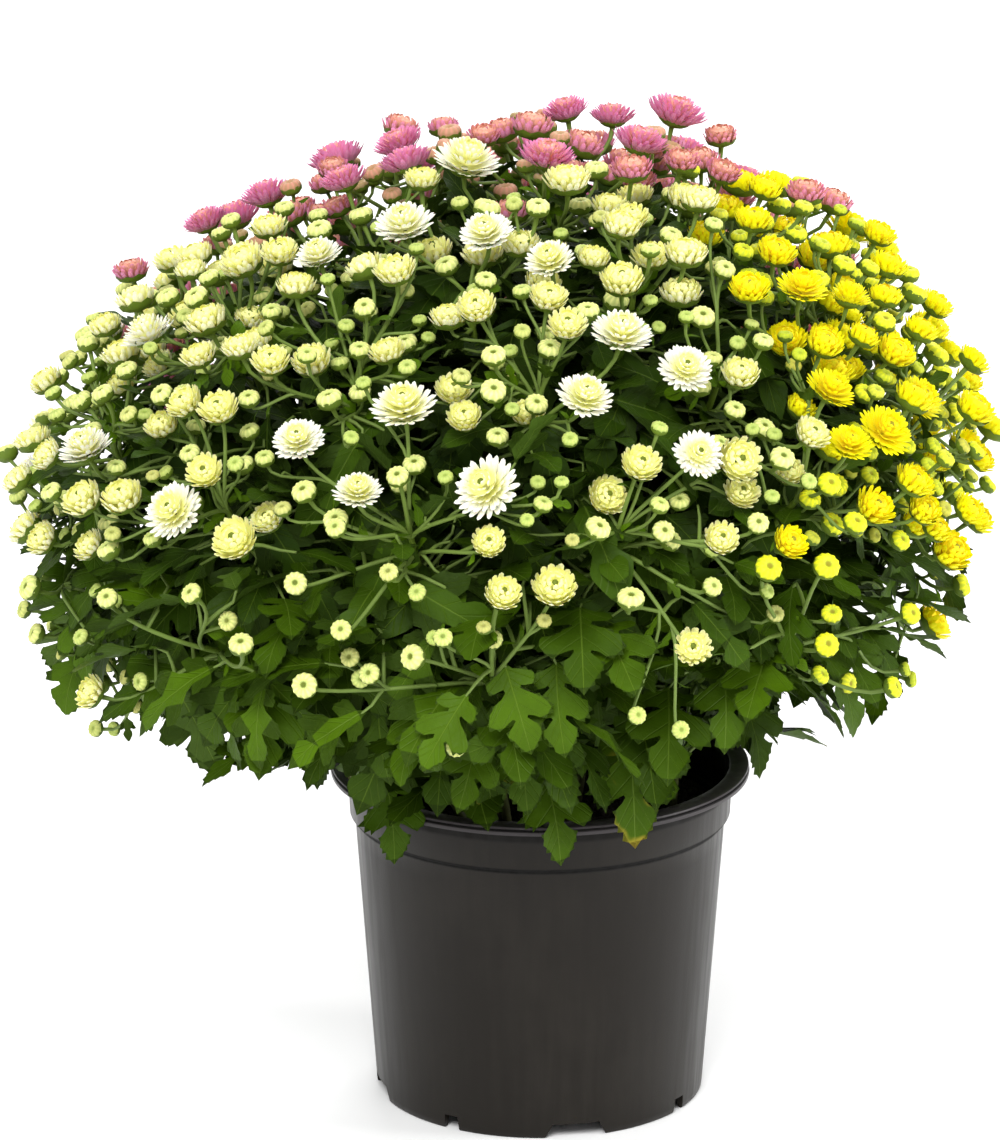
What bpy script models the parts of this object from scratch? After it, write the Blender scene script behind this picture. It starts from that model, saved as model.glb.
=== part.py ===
"""A pot chrysanthemum: white, yellow and pink blooms on one rounded crown, in a dark nursery pot."""

import itertools
import math
import random

import bmesh
import bpy
from mathutils import Vector
from mathutils.bvhtree import BVHTree

# Metres throughout. The ground is z = 0 and the pot's axis stands at POT_AT.
POT_AT = Vector((0.018, 0.0, 0.0))
UP = Vector((0.0, 0.0, 1.0))
GAP = 0.0003
SEED = 23

# Pot: a 23 cm thin-walled nursery pot with a rolled lip, a collar and a raised floor.
POT_HEIGHT = 0.187
LIP_RADIUS = 0.115
LIP_DROP = 0.005
COLLAR_TOP_RADIUS = 0.1055
COLLAR_FOOT_RADIUS = 0.1045
COLLAR_FOOT_Z = 0.1585
BODY_TOP_RADIUS = 0.1015
BASE_RADIUS = 0.090
WALL = 0.0018
FLOOR_Z = 0.009
FLOOR_THICK = 0.002
POT_SIDES = 36
WIDE_NOTCH = (0.036, 0.026)
NARROW_NOTCH = (0.010, 0.008)
NOTCH_TURN = 12.5
DRAIN_RADIUS = 0.006
DRAIN_RING = 0.062

# Soil: fills the pot to SOIL_Z at the wall and a little higher in the middle.
SOIL_Z = 0.162
SOIL_CROWN = 0.004
SOIL_SIDES = 20
HOLE_DEPTH = 0.025
HOLE_RADIUS = 0.0040

# Crown: the rounded surface that the heads lie on, centred over the pot and leaning a little.
CROWN_Z = 0.347
CROWN_HALF_WIDTH = 0.268
CROWN_HALF_DEPTH = 0.250
CROWN_RISE = 0.198
CROWN_FALL = 0.215
CROWN_AT_X = -0.026
CROWN_LEAN = 0.036

# The eye of the front view, and the distance at which its marks are given.
EYE = Vector((-0.022, -3.6, 1.385))
EYE_PITCH = math.radians(16.83)
MARK_DISTANCE = 3.793
MARK_ORIGIN = (0.022, -0.104)

# Heads that stand out in the front view: across and up from the rim's centre, and width, in millimetres.
WHITE_MARKS = (
    (-40, 330, 34), (-75, 295, 30), (-80, 270, 21), (-65, 320, 18), (-95, 290, 18),
    (-30, 290, 27), (15, 320, 23), (5, 275, 25), (5, 255, 19), (-35, 250, 20),
    (-70, 235, 19), (15, 240, 19), (45, 265, 22), (45, 295, 20), (45, 235, 31),
    (80, 215, 27), (80, 280, 22), (25, 200, 28), (-75, 195, 32), (-90, 178, 22),
    (-30, 150, 33), (-5, 145, 19), (-100, 148, 24), (87, 168, 25), (110, 165, 23),
    (128, 172, 22), (150, 180, 18), (-133, 176, 26), (-118, 160, 23), (-177, 194, 20),
    (-196, 197, 19), (-250, 172, 28), (-288, 155, 18), (-272, 168, 18), (-202, 137, 30),
    (-182, 143, 24), (-214, 150, 19), (-216, 235, 28), (-184, 243, 23), (-190, 278, 20),
    (-164, 275, 23), (-143, 280, 19), (-122, 278, 24), (-134, 262, 20), (-165, 228, 19),
    (-148, 220, 19), (100, 122, 18), (84, 62, 18), (50, 90, 15), (-20, 92, 19),
    (-28, 120, 17),
)
YELLOW_MARKS = (
    (144, 260, 26), (170, 255, 24), (190, 181, 29), (170, 174, 24), (160, 204, 26),
    (206, 200, 21), (130, 280, 20), (115, 260, 20), (117, 298, 19), (124, 315, 18),
    (157, 230, 20), (178, 234, 17), (196, 225, 20), (192, 273, 20), (190, 256, 18),
    (140, 195, 19), (206, 154, 20), (212, 138, 18), (236, 138, 18), (158, 107, 15),
    (138, 120, 18), (126, 106, 15),
)
PINK_MARKS = (
    (-108, 319, 25), (-112, 331, 30), (-78, 339, 26), (-76, 349, 20), (4, 332, 28),
    (-4, 350, 22), (14, 357, 24), (40, 354, 24), (55, 340, 28), (50, 326, 21),
    (75, 356, 31), (-31, 344, 17), (-50, 346, 14), (99, 344, 18), (78, 330, 18),
    (101, 324, 18), (122, 323, 19), (108, 311, 17), (146, 313, 21), (162, 308, 21),
    (-184, 296, 24), (-196, 286, 20), (-225, 270, 19), (-210, 277, 19),
)

# Heads: the widest bud and cup, how far the middle of each stands above its base, in widths, and the
# shares of blooms and of cups among the heads that fill the crown.
BUD_WIDTH = 0.016
CUP_WIDTH = 0.0235
STAND = {"bloom": 0.30, "cup": 0.42, "bud": 0.50}
HEAD_TRIES = 405
HEAD_GAP = 0.0012
LOWEST_HEAD = 0.045
LOWEST_IN_FRONT = 0.115
KIND_SHARES = {"white": (0.08, 0.42), "yellow": (0.08, 0.44), "pink": (0.24, 0.44)}
PEDICEL_RADIUS = 0.0012

# Sprays: rings of anchors on the crown, as polar angle in degrees and number.
SPRAY_RINGS = ((12, 2), (33, 7), (54, 10), (75, 12), (97, 8))
SPRAY_DEPTH = 0.080
KNOB_RADIUS = 0.0031
KNOB_RISE = 0.0015
SPRAY_NODES = (0.012, 0.030)
SHOOTS_PER_NODE = 6
STALK_RADIUS = 0.0018

# Stems: for each ring of the crown that they carry, the radius they start at and the most sprays on one.
TIERS = (
    {"rings": (4,), "start": 0.076, "most": 2, "leaves": 10},
    {"rings": (3,), "start": 0.057, "most": 3, "leaves": 6},
    {"rings": (2,), "start": 0.038, "most": 3, "leaves": 3},
    {"rings": (1, 0), "start": 0.018, "most": 4, "leaves": 2},
)
INTERNODE = 0.030
STEM_RADIUS = 0.0030
STEM_TIP_RADIUS = 0.0020

# Leaves that hang over the rim or stand out in the front view: base and tip, each as across and up from
# the rim's centre as seen, and how far in front of the pot's axis, in millimetres.
LEAF_MARKS = (
    ((46, 19, 105), (50, -47, 137)),
    ((0, -2, 108), (11, -56, 138)),
    ((-84, -6, 84), (-78, -56, 104)),
    ((-34, 18, 120), (-26, -32, 142)),
    ((-105, 33, 85), (-121, -16, 100)),
    ((-150, 66, 60), (-206, 56, 75)),
    ((101, 44, 90), (118, -10, 105)),
    ((151, 62, 50), (170, 12, 60)),
    ((-85, 36, 130), (-36, 40, 155)),
    ((-215, 84, 10), (-262, 62, 15)),
    ((196, 60, 10), (222, 18, 10)),
    ((20, 62, 150), (60, 36, 170)),
)
VIEW_SLOPE = math.radians(18.4)

# Leaves: half outlines from base to tip, along and across in leaf lengths.
BLADE = 0.0010
LARGE_HALF = ((0.23, 0.29), (0.32, 0.13), (0.60, 0.36), (0.66, 0.15))
SMALL_HALF = ((0.42, 0.36), (0.60, 0.15))
LEAF_FOLD = 0.16

COLOURS = {
    "white": (0.86, 0.87, 0.58),
    "yellow": (0.93, 0.74, 0.02),
    "pink": (0.74, 0.24, 0.38),
    "green": (0.10, 0.22, 0.03),
    "pot": (0.032, 0.030, 0.029),
    "soil": (0.030, 0.020, 0.013),
}


# Crown surface and front view


def crown_depth(point):
    """Less than 1 inside the crown, 1 on its surface."""
    level = point.z - CROWN_Z
    middle = CROWN_AT_X + CROWN_LEAN * max(level, 0.0) / CROWN_RISE
    flat = math.hypot((point.x - middle) / CROWN_HALF_WIDTH, point.y / CROWN_HALF_DEPTH)
    tall, power = (CROWN_RISE, 1.8) if level > 0 else (CROWN_FALL, 2.2)
    return flat ** power + (abs(level) / tall) ** power


def on_crown(polar, turn, depth=0.0):
    """Point of the crown at an angle from straight up and a turn from the front towards +X."""
    way = Vector((math.sin(polar) * math.sin(turn), -math.sin(polar) * math.cos(turn), math.cos(polar)))
    flat = math.hypot(way.x / CROWN_HALF_WIDTH, way.y / CROWN_HALF_DEPTH)
    tall, power = (CROWN_RISE, 1.8) if way.z > 0 else (CROWN_FALL, 2.2)
    reach = (flat ** power + (abs(way.z) / tall) ** power) ** (-1.0 / power)
    point = way * reach
    point.x += CROWN_AT_X + CROWN_LEAN * max(point.z, 0.0) / CROWN_RISE
    point.z += CROWN_Z
    return point - crown_normal(point) * depth


def crown_normal(point):
    step = 0.002
    here = crown_depth(point)
    slope = [crown_depth(point + axis * step) - here for axis in (Vector((1, 0, 0)), Vector((0, 1, 0)), UP)]
    return Vector(slope).normalized()


def behind_mark(across, up):
    """First point of the crown on the line of sight through a mark of the front view, in millimetres."""
    ahead = Vector((0.0, math.cos(EYE_PITCH), -math.sin(EYE_PITCH)))
    over = Vector((0.0, math.sin(EYE_PITCH), math.cos(EYE_PITCH)))
    sight = ahead * MARK_DISTANCE + over * (up / 1000 + MARK_ORIGIN[1])
    sight.x += across / 1000 + MARK_ORIGIN[0]
    sight.normalize()
    steps = [EYE + sight * (MARK_DISTANCE - 0.45 + 0.002 * i) for i in range(400)]
    for point in steps:
        if crown_depth(point) < 1.0:
            return point
    return min(steps, key=crown_depth)


def colour_at(point):
    """Which of the three plants bears the flowers at a point of the crown."""
    slope = 0.0 if point.x > -0.10 else -1.11
    border = -0.033 + slope * (point.x + 0.10)
    if point.x > 0.02:
        border = -0.033 + 0.85 * (point.x - 0.02)
    if point.y > min(border, 0.13):
        return "pink"
    return "yellow" if point.x > 0.06 + 0.36 * (0.04 - point.y) else "white"


# Room that has been taken, as spheres in a grid of cells


class Room:
    cell = 0.036

    def __init__(self):
        self.cells = {}

    def key(self, point):
        return tuple(math.floor(value / self.cell) for value in point)

    def add(self, point, radius, owner):
        self.cells.setdefault(self.key(point), []).append((point, radius, owner))

    def free(self, point, radius, owners=()):
        x, y, z = self.key(point)
        for dx, dy, dz in itertools.product((-1, 0, 1), repeat=3):
            for middle, size, owner in self.cells.get((x + dx, y + dy, z + dz), ()):
                if owner not in owners and (point - middle).length < radius + size:
                    return False
        return True


# Heads


class Head:
    """A bloom, a half-open cup or a bud, by its middle, the way it faces and its width."""

    def __init__(self, colour, middle, axis, width):
        self.colour = colour
        self.middle = middle
        self.axis = axis
        self.width = width
        self.kind = "bud" if width < BUD_WIDTH else "cup" if width < CUP_WIDTH else "bloom"
        self.base = middle - axis * width * STAND[self.kind]


def head_axis(point, rng):
    jitter = Vector((rng.gauss(0, 0.14), rng.gauss(0, 0.14), rng.gauss(0, 0.10)))
    return (crown_normal(point) * 0.55 + UP * 0.45 + jitter).normalized()


def marked_heads(rng):
    for colour, marks in (("white", WHITE_MARKS), ("yellow", YELLOW_MARKS), ("pink", PINK_MARKS)):
        for across, up, width in marks:
            point = behind_mark(across, up)
            yield Head(colour, point, head_axis(point, rng), width / 1000)


def skirt(point):
    """Heights above the rim of the lowest heads and of where they thin out: both rise towards the front."""
    front = (max(0.0, -point.y) / CROWN_HALF_DEPTH) ** 2
    return LOWEST_HEAD + (LOWEST_IN_FRONT - LOWEST_HEAD) * front, 0.150 + 0.075 * front


def filling_head(index, count, rng, widths):
    """A head of the even filling: the crown's surface is walked in a golden spiral."""
    cosine = 1.0 - 1.5 * (index + 0.5) / count
    turn = index * math.pi * (3.0 - math.sqrt(5.0))
    point = on_crown(math.acos(cosine), turn, rng.uniform(-0.004, 0.016))
    draw, size = rng.random(), rng.random()
    axis = head_axis(point, rng)
    lowest, dense = skirt(point)
    thin = (point.z - POT_HEIGHT - lowest) / (dense - lowest)
    colour = colour_at(point)
    bloom, cup = widths[colour]
    if rng.random() > 0.30 + 0.70 * max(0.0, thin) ** 3 and thin < 1.0 or thin < 0.0:
        return None
    if thin < 0.9:
        bloom, cup = bloom / 4, cup / 2
    if draw < bloom:
        return Head(colour, point, axis, 0.024 + 0.007 * size)
    if draw < bloom + cup:
        return Head(colour, point, axis, 0.0165 + 0.0065 * size)
    return Head(colour, point, axis, 0.0105 + 0.0050 * size)


def place_heads(rng, room):
    heads = []
    for head in marked_heads(rng):
        if room.free(head.middle, head.width * 0.38):
            room.add(head.middle, head.width / 2 + HEAD_GAP, ("head", len(heads)))
            heads.append(head)
    for index in range(HEAD_TRIES):
        head = filling_head(index, HEAD_TRIES, rng, KIND_SHARES)
        if head and room.free(head.middle, head.width / 2 + HEAD_GAP + 0.0015):
            room.add(head.middle, head.width / 2 + HEAD_GAP, ("head", len(heads)))
            heads.append(head)
    return heads


# Sprays and stems


class Spray:
    """A stalk that ends in a fan of pedicels with their heads."""

    def __init__(self, number, ring, turn, anchor):
        self.number = number
        self.ring = ring
        self.turn = turn
        self.anchor = anchor
        self.colour = colour_at(anchor)
        self.axis = (crown_normal(anchor) * 0.72 + UP * 0.36).normalized()
        self.foot = anchor - self.axis * SPRAY_DEPTH
        self.heads = []
        self.shoots = []
        self.end = None


def spray_anchors():
    number = 0
    for ring, (polar, count) in enumerate(SPRAY_RINGS):
        for k in range(count):
            turn = math.tau * (k + 0.5 * (ring % 2)) / count
            yield Spray(number, ring, turn, on_crown(math.radians(polar), turn))
            number += 1


def share_heads(heads, sprays):
    """Each head goes to the nearest spray of its colour that still has room."""
    most = SHOOTS_PER_NODE * len(SPRAY_NODES) + 1
    order = sorted(range(len(heads)), key=lambda i: -heads[i].width)
    for i in order:
        own = [s for s in sprays if s.colour == heads[i].colour]
        own.sort(key=lambda s: (s.anchor - heads[i].middle).length)
        for spray in own[:3]:
            if len(spray.heads) < most and (spray.anchor - heads[i].middle).length < 0.105:
                spray.heads.append(i)
                break


def bezier(points, t):
    a, b, c, d = points
    s = 1.0 - t
    return a * s ** 3 + b * (3 * s * s * t) + c * (3 * s * t * t) + d * t ** 3


def bezier_way(points, t):
    return (bezier(points, min(t + 0.02, 1.0)) - bezier(points, max(t - 0.02, 0.0))).normalized()


class Tube:
    """One length of stem along a curve, with where it leaves its parent and what leaves it."""

    def __init__(self, curve, radii, parent=None, at=0.0):
        self.curve = curve
        self.radii = radii
        self.parent = parent
        self.at = at
        self.leaves = []
        self.clear_from = 0.0

    def length(self):
        stops = [bezier(self.curve, i / 12) for i in range(13)]
        return sum((b - a).length for a, b in zip(stops, stops[1:]))

    def radius(self, t):
        return self.radii[0] + (self.radii[1] - self.radii[0]) * t


class Stem:
    def __init__(self, name, colour, base, tubes):
        self.name = name
        self.colour = colour
        self.base = base
        self.tubes = tubes


def plane_way(turn):
    return Vector((math.sin(turn), -math.cos(turn), 0.0))


def main_curve(base, spray):
    end = spray.foot - spray.axis * GAP
    reach = (end - base).length
    out = (end - base) * Vector((1, 1, 0))
    first = base + UP * (HOLE_DEPTH + 0.30 * reach) + out * 0.12
    return base, first, end - spray.axis * 0.33 * reach, end


def branch_curve(trunk, at, spray):
    start = bezier(trunk, at)
    end = spray.foot - spray.axis * GAP
    reach = (end - start).length
    way = (bezier_way(trunk, at) * 0.55 + (end - start).normalized() * 0.75).normalized()
    return start, start + way * 0.35 * reach, end - spray.axis * 0.33 * reach, end


def grouped(sprays, most):
    """Neighbouring sprays of one colour in groups of at most that many, going round from the pink side."""
    order = sorted(sprays, key=lambda s: (s.turn - math.radians(120)) % math.tau)
    groups = []
    for colour in ("pink", "white", "yellow"):
        own = [s for s in order if s.colour == colour]
        count = math.ceil(len(own) / most)
        for k in range(count):
            groups.append(own[len(own) * k // count:len(own) * (k + 1) // count])
    return groups


def mean_turn(sprays):
    total = sum((plane_way(s.turn) * (0.3 + s.ring) for s in sprays), Vector())
    return math.atan2(total.x, -total.y)


def plan_stems(sprays):
    stems = []
    numbers = {"white": 0, "yellow": 0, "pink": 0}
    for tier in TIERS:
        for group in grouped([s for s in sprays if s.ring in tier["rings"]], tier["most"]):
            colour = group[0].colour
            numbers[colour] += 1
            turn = mean_turn(group)
            base = plane_way(turn) * tier["start"]
            base.z = SOIL_Z - HOLE_DEPTH + GAP
            ranked = sorted(group, key=lambda s: (plane_way(s.turn) - plane_way(turn)).length)
            trunk = Tube(main_curve(base, ranked[0]), (STEM_RADIUS, STEM_TIP_RADIUS))
            tubes = [trunk]
            for k, spray in enumerate(ranked[1:]):
                at = 0.42 + 0.13 * k
                curve = branch_curve(trunk.curve, at, spray)
                tubes.append(Tube(curve, (0.0024, STEM_TIP_RADIUS), 0, at))
            stem = Stem(f"{colour}_stem_{numbers[colour]}", colour, base, tubes)
            stem.tier = tier
            stem.sprays = ranked
            stems.append(stem)
    return stems


def take_stem_room(stems, room):
    for number, stem in enumerate(stems):
        for tube in stem.tubes:
            steps = int(tube.length() / 0.004)
            for i in range(steps + 1):
                t = i / steps
                room.add(bezier(tube.curve, t), tube.radius(t) + 0.0005, ("stem", number))


def line_points(start, end, step=0.004):
    count = max(2, int((end - start).length / step))
    return [start.lerp(end, i / count) for i in range(count + 1)]


def place_shoots(spray, heads, head_room, wood_room):
    """Picks the head that ends the stalk and shares the others between its nodes, dropping what is blocked."""
    if not spray.heads:
        return
    stations = [spray.foot + spray.axis * (d + KNOB_RISE) for d in SPRAY_NODES]
    top = stations[-1]

    def aside(i):
        way = (heads[i].base - top).normalized()
        return 1.0 - way.dot(spray.axis)

    order = sorted(spray.heads, key=aside)
    spray.end = order[0]
    rest = order[:0:-1]
    lower = min(SHOOTS_PER_NODE, (len(rest) + 1) // 2)
    near, far = ("near", spray.number), ("far", spray.number)
    for point in line_points(spray.foot, top):
        wood_room.add(point, STALK_RADIUS, near)
    wanted = [(spray.end, len(stations) - 1)]
    wanted += [(i, 0) for i in rest[:lower]] + [(i, 1) for i in rest[lower:]]
    for i, station in wanted:
        start, end = stations[station], heads[i].base
        points = line_points(start, end)
        clear = (end - start).dot(spray.axis) > 0.004
        for point in points:
            own = (point - start).length < 0.022
            skip = (near, far, ("stem", spray.stem)) if own else (near,)
            clear = clear and wood_room.free(point, PEDICEL_RADIUS + 0.0006, skip)
            clear = clear and head_room.free(point, 0.0016, (("head", i),))
        if not clear:
            if i == spray.end:
                spray.end = None
            continue
        if i != spray.end:
            spray.shoots.append((i, station))
        for point in points:
            own = (point - start).length < 0.022
            wood_room.add(point, PEDICEL_RADIUS + 0.0004, near if own else far)


# Leaves


class Leaf:
    """A blade that starts at base and runs forward, drooping by an angle over its length."""

    def __init__(self, root, base, forward, up, length, droop, large):
        self.root = root
        self.base = base
        self.forward = forward
        self.side = forward.cross(up).normalized()
        self.up = self.side.cross(forward).normalized()
        self.length = length
        self.droop = droop
        self.large = large

    def at(self, along, across, lift=0.0):
        angle = self.droop * along
        run = math.sin(angle) / self.droop
        fall = (1.0 - math.cos(angle)) / self.droop
        rise = LEAF_FOLD * abs(across) - fall
        normal = self.up * math.cos(angle) + self.forward * math.sin(angle)
        flat = self.forward * run + self.side * across + self.up * rise
        return self.base + flat * self.length + normal * lift

    def samples(self, gap=0.0042):
        """Spheres that stand for the petiole and the blade, as points and radii."""
        for share in (0.3, 0.5, 0.7, 0.9):
            yield self.root.lerp(self.base, share), 0.0020
        for along in (0.06, 0.24, 0.42, 0.60, 0.78, 0.95):
            half = 0.34 if 0.15 < along < 0.65 else 0.17 if along < 0.9 else 0.0
            for share in (-1.0, -0.5, 0.0, 0.5, 1.0):
                if half or share == 0.0:
                    yield self.at(along, half * share), gap


def clear_of_pot(point):
    out = math.hypot(point.x, point.y)
    if point.z > POT_HEIGHT + 0.006:
        return True
    if out > LIP_RADIUS + 0.005:
        return point.z > 0.100
    return out < 0.094 and point.z > SOIL_Z + 0.010


def leaf_clear(leaf, number, rooms):
    head_room, wood_room, leaf_room = rooms
    for point, size in leaf.samples():
        reach = (point - leaf.root).length
        own = (("stem", number),) if reach < 0.016 else ()
        if crown_depth(point) > 1.02 and point.z > POT_HEIGHT + 0.03:
            return False
        if not clear_of_pot(point) or not head_room.free(point, size):
            return False
        if not wood_room.free(point, size - 0.0008, own):
            return False
        if reach > 0.009 and not leaf_room.free(point, size):
            return False
    return True


def take_leaf_room(leaf, leaf_room):
    for point, size in leaf.samples():
        leaf_room.add(point, size, ("leaf", 0))


def leaf_between(root, base, tip, droop, radius=0.0):
    """A leaf whose blade starts at base and whose drooping tip ends at a given point."""
    way = (tip - base).normalized()
    side = way.cross(UP)
    side = side.normalized() if side.length > 0.05 else Vector((1, 0, 0))
    up = side.cross(way)
    forward = way * math.cos(droop / 2) + up * math.sin(droop / 2)
    length = (tip - base).length * (droop / 2) / math.sin(droop / 2)
    return Leaf(root, base, forward, up, length, droop, True)


def seen_point(across, up, front):
    """Point at a distance in front of the pot's axis that is seen at a mark beside the rim's centre."""
    rise = (up + front * math.sin(VIEW_SLOPE)) / math.cos(VIEW_SLOPE)
    return Vector((across / 1000, -front / 1000, POT_HEIGHT + rise / 1000))


def marked_leaves(stems, rooms):
    """Each leaf that stands out in the front view, on the nearest stem that it can grow from."""
    for mark in LEAF_MARKS:
        base, tip = seen_point(*mark[0]), seen_point(*mark[1])
        places = []
        for number, stem in enumerate(stems):
            for tube in stem.tubes:
                count = max(3, int(tube.length() / 0.012))
                for k in range(1, count):
                    root = bezier(tube.curve, k / count)
                    if POT_HEIGHT - 0.006 < root.z < base.z + 0.012:
                        places.append(((root - base).length, number, k / count, stem.tubes.index(tube), root))
        for _, number, t, index, root in sorted(places, key=lambda place: place[0])[:24]:
            tube = stems[number].tubes[index]
            leaf = leaf_between(root, base, tip, 0.75)
            if too_close(stems[number], tube, t) or not leaf_clear(leaf, number, rooms):
                continue
            tube.leaves.append((t, leaf))
            take_leaf_room(leaf, rooms[2])
            break


def too_close(stem, tube, t, least=0.012):
    """Whether a node at t would run into another node of the same tube."""
    others = [other for other, _ in tube.leaves]
    if tube is stem.tubes[0]:
        others += [branch.at for branch in stem.tubes[1:]]
    return any(0.0 < abs(t - other) * tube.length() < least for other in others)


def try_leaf(stem_number, tube, t, rooms, rng, low, hand, tries=12):
    root = bezier(tube.curve, t)
    out = Vector((root.x, root.y, 0.0))
    out = out.normalized() if out.length > 0.01 else plane_way(rng.uniform(0, math.tau))
    side = Vector((-out.y, out.x, 0.0))
    for _ in range(tries):
        swing = hand * rng.uniform(0.05, 1.25)
        lift = rng.uniform(-0.45, 0.10) if low else rng.uniform(0.0, 0.65)
        length = rng.uniform(0.052, 0.072) if low else rng.uniform(0.040, 0.056)
        petiole = rng.uniform(0.012, 0.034) if low else rng.uniform(0.010, 0.018)
        forward = (out * math.cos(swing) + side * math.sin(swing)) * math.cos(lift) + UP * math.sin(lift)
        roll = Vector((rng.uniform(-0.3, 0.3), rng.uniform(-0.3, 0.3), 1.0))
        base = root + (forward + UP * 0.35).normalized() * (petiole + tube.radius(t))
        leaf = Leaf(root, base, forward, roll, length, rng.uniform(0.35, 1.05), length > 0.053)
        if leaf_clear(leaf, stem_number, rooms):
            return leaf
    return None


def place_leaves(stems, rooms, rng):
    """Leaves at even internodes along each tube above the rim, two to a node where there is room."""
    for number, stem in enumerate(stems):
        low = stem.tier["rings"] in ((4,), (3,))
        left = stem.tier["leaves"]
        stops = []
        for tube in stem.tubes:
            length = tube.length()
            count = int(length * 0.78 / INTERNODE)
            stops += [(tube, 0.18 + 0.78 * (k + 0.5) / count) for k in range(count)]
        stops = [stop for stop in stops if bezier(stop[0].curve, stop[1]).z > POT_HEIGHT - 0.004]
        stops.sort(key=lambda stop: bezier(stop[0].curve, stop[1]).z, reverse=not low)
        for tube, t in stops:
            for hand in (-1, 1):
                if left <= 0 or too_close(stem, tube, t):
                    continue
                leaf = try_leaf(number, tube, t, rooms, rng, low, hand)
                if leaf:
                    tube.leaves.append((t, leaf))
                    take_leaf_room(leaf, rooms[2])
                    left -= 1


def plan_plant():
    """Everything that grows: the heads, the sprays that bear them, and the leafy stems that bear the sprays."""
    rng = random.Random(SEED)
    head_room, wood_room, leaf_room = Room(), Room(), Room()
    heads = place_heads(rng, head_room)
    sprays = list(spray_anchors())
    share_heads(heads, sprays)
    stems = plan_stems(sprays)
    for number, stem in enumerate(stems):
        for spray in stem.sprays:
            spray.stem = number
    take_stem_room(stems, wood_room)
    for spray in sprays:
        place_shoots(spray, heads, head_room, wood_room)
    marked_leaves(stems, (head_room, wood_room, leaf_room))
    place_leaves(stems, (head_room, wood_room, leaf_room), rng)
    return heads, sprays, stems


# Building with rings of points that are lofted into one closed skin


def ring_points(middle, axis, start, radius, sides, offset=0.0):
    """Points round an axis, counted from the way that start leans, seen turning left from the axis's tip."""
    first = start - axis * start.dot(axis)
    if first.length < 1e-6:
        first = axis.orthogonal()
    first.normalize()
    second = axis.cross(first)
    points = []
    for k in range(sides):
        angle = math.tau * (k + offset) / sides
        reach = radius[k % len(radius)] if isinstance(radius, tuple) else radius
        points.append(middle + (first * math.cos(angle) + second * math.sin(angle)) * reach)
    return points


def new_ring(bm, points):
    return [bm.verts.new(point) for point in points]


def loft_triangles(lower, upper):
    """Triangles between two rings that turn the same way and start side by side."""
    triangles = []
    i = j = 0
    below, above = len(lower), len(upper)
    while i < below or j < above:
        a, b = lower[i % below], upper[j % above]
        if j >= above or (i < below and (i + 0.5) / below <= (j + 0.5) / above):
            triangles.append((a, lower[(i + 1) % below], b))
            i += 1
        else:
            triangles.append((a, upper[(j + 1) % above], b))
            j += 1
    return triangles


def loft(bm, lower, upper):
    for triangle in loft_triangles(lower, upper):
        bm.faces.new(triangle)


def fan(bm, ring, point):
    tip = bm.verts.new(point)
    for a, b in zip(ring, ring[1:] + ring[:1]):
        bm.faces.new((a, b, tip))


def flat_angle(way, axis, first):
    second = axis.cross(first)
    return math.atan2(way.dot(second), way.dot(first))


def closest(a, b, c, d):
    """Least distance between the outer parts of two shoots that run from a to b and from c to d."""
    steps = [0.12 + 0.11 * k for k in range(9)]
    ours = [a.lerp(b, t) for t in steps]
    theirs = [c.lerp(d, t) for t in steps]
    return min((p - q).length for p in ours for q in theirs)


def best_roots(corners, ends, middle, axis):
    """Which triangle of a node each shoot leaves by, so that each leaves on its own side and none cross."""
    first = axis.orthogonal().normalized()
    hearts = [sum(c, Vector()) / 3 for c in corners]
    faces = [flat_angle(heart - middle, axis, first) for heart in hearts]
    shoots = [flat_angle(end - middle, axis, first) for end in ends]

    def misfit(picks):
        return sum(abs(math.remainder(faces[p] - s, math.tau)) ** 2.5 for p, s in zip(picks, shoots))

    def crowding(picks):
        total = misfit(picks)
        for (p, one), (q, other) in itertools.combinations(list(zip(picks, ends)), 2):
            total += 40.0 * max(0.0, 0.0026 - closest(hearts[p], one, hearts[q], other)) / 0.0026
        return total

    turning = sorted(range(len(ends)), key=lambda i: shoots[i])
    around = sorted(range(len(corners)), key=lambda i: faces[i])
    likely = []
    for chosen in itertools.combinations(around, len(ends)):
        for shift in range(len(ends)):
            picks = [0] * len(ends)
            for k, i in enumerate(turning):
                picks[i] = chosen[(k + shift) % len(ends)]
            likely.append(picks)
    picks = min(sorted(likely, key=misfit)[:10], key=crowding)
    return crowding(picks), picks


def close_node(bm, lower, upper, ends, axis):
    """Skins a node and returns the triangle left open for each shoot."""
    triangles = loft_triangles(lower, upper)
    middle = sum((v.co for v in lower + upper), Vector()) / (len(lower) + len(upper))
    picks = ()
    if ends:
        corners = [tuple(v.co for v in triangle) for triangle in triangles]
        picks = best_roots(corners, ends, middle, axis)[1]
    for number, triangle in enumerate(triangles):
        if number not in picks:
            bm.faces.new(triangle)
    return [triangles[pick] for pick in picks]


def start_of(root, axis):
    """The way in which a ring round axis starts, so that it lines up with the first corner of its root."""
    middle = sum((v.co for v in root), Vector()) / len(root)
    lean = root[0].co - middle
    return lean - axis * lean.dot(axis)


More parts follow.
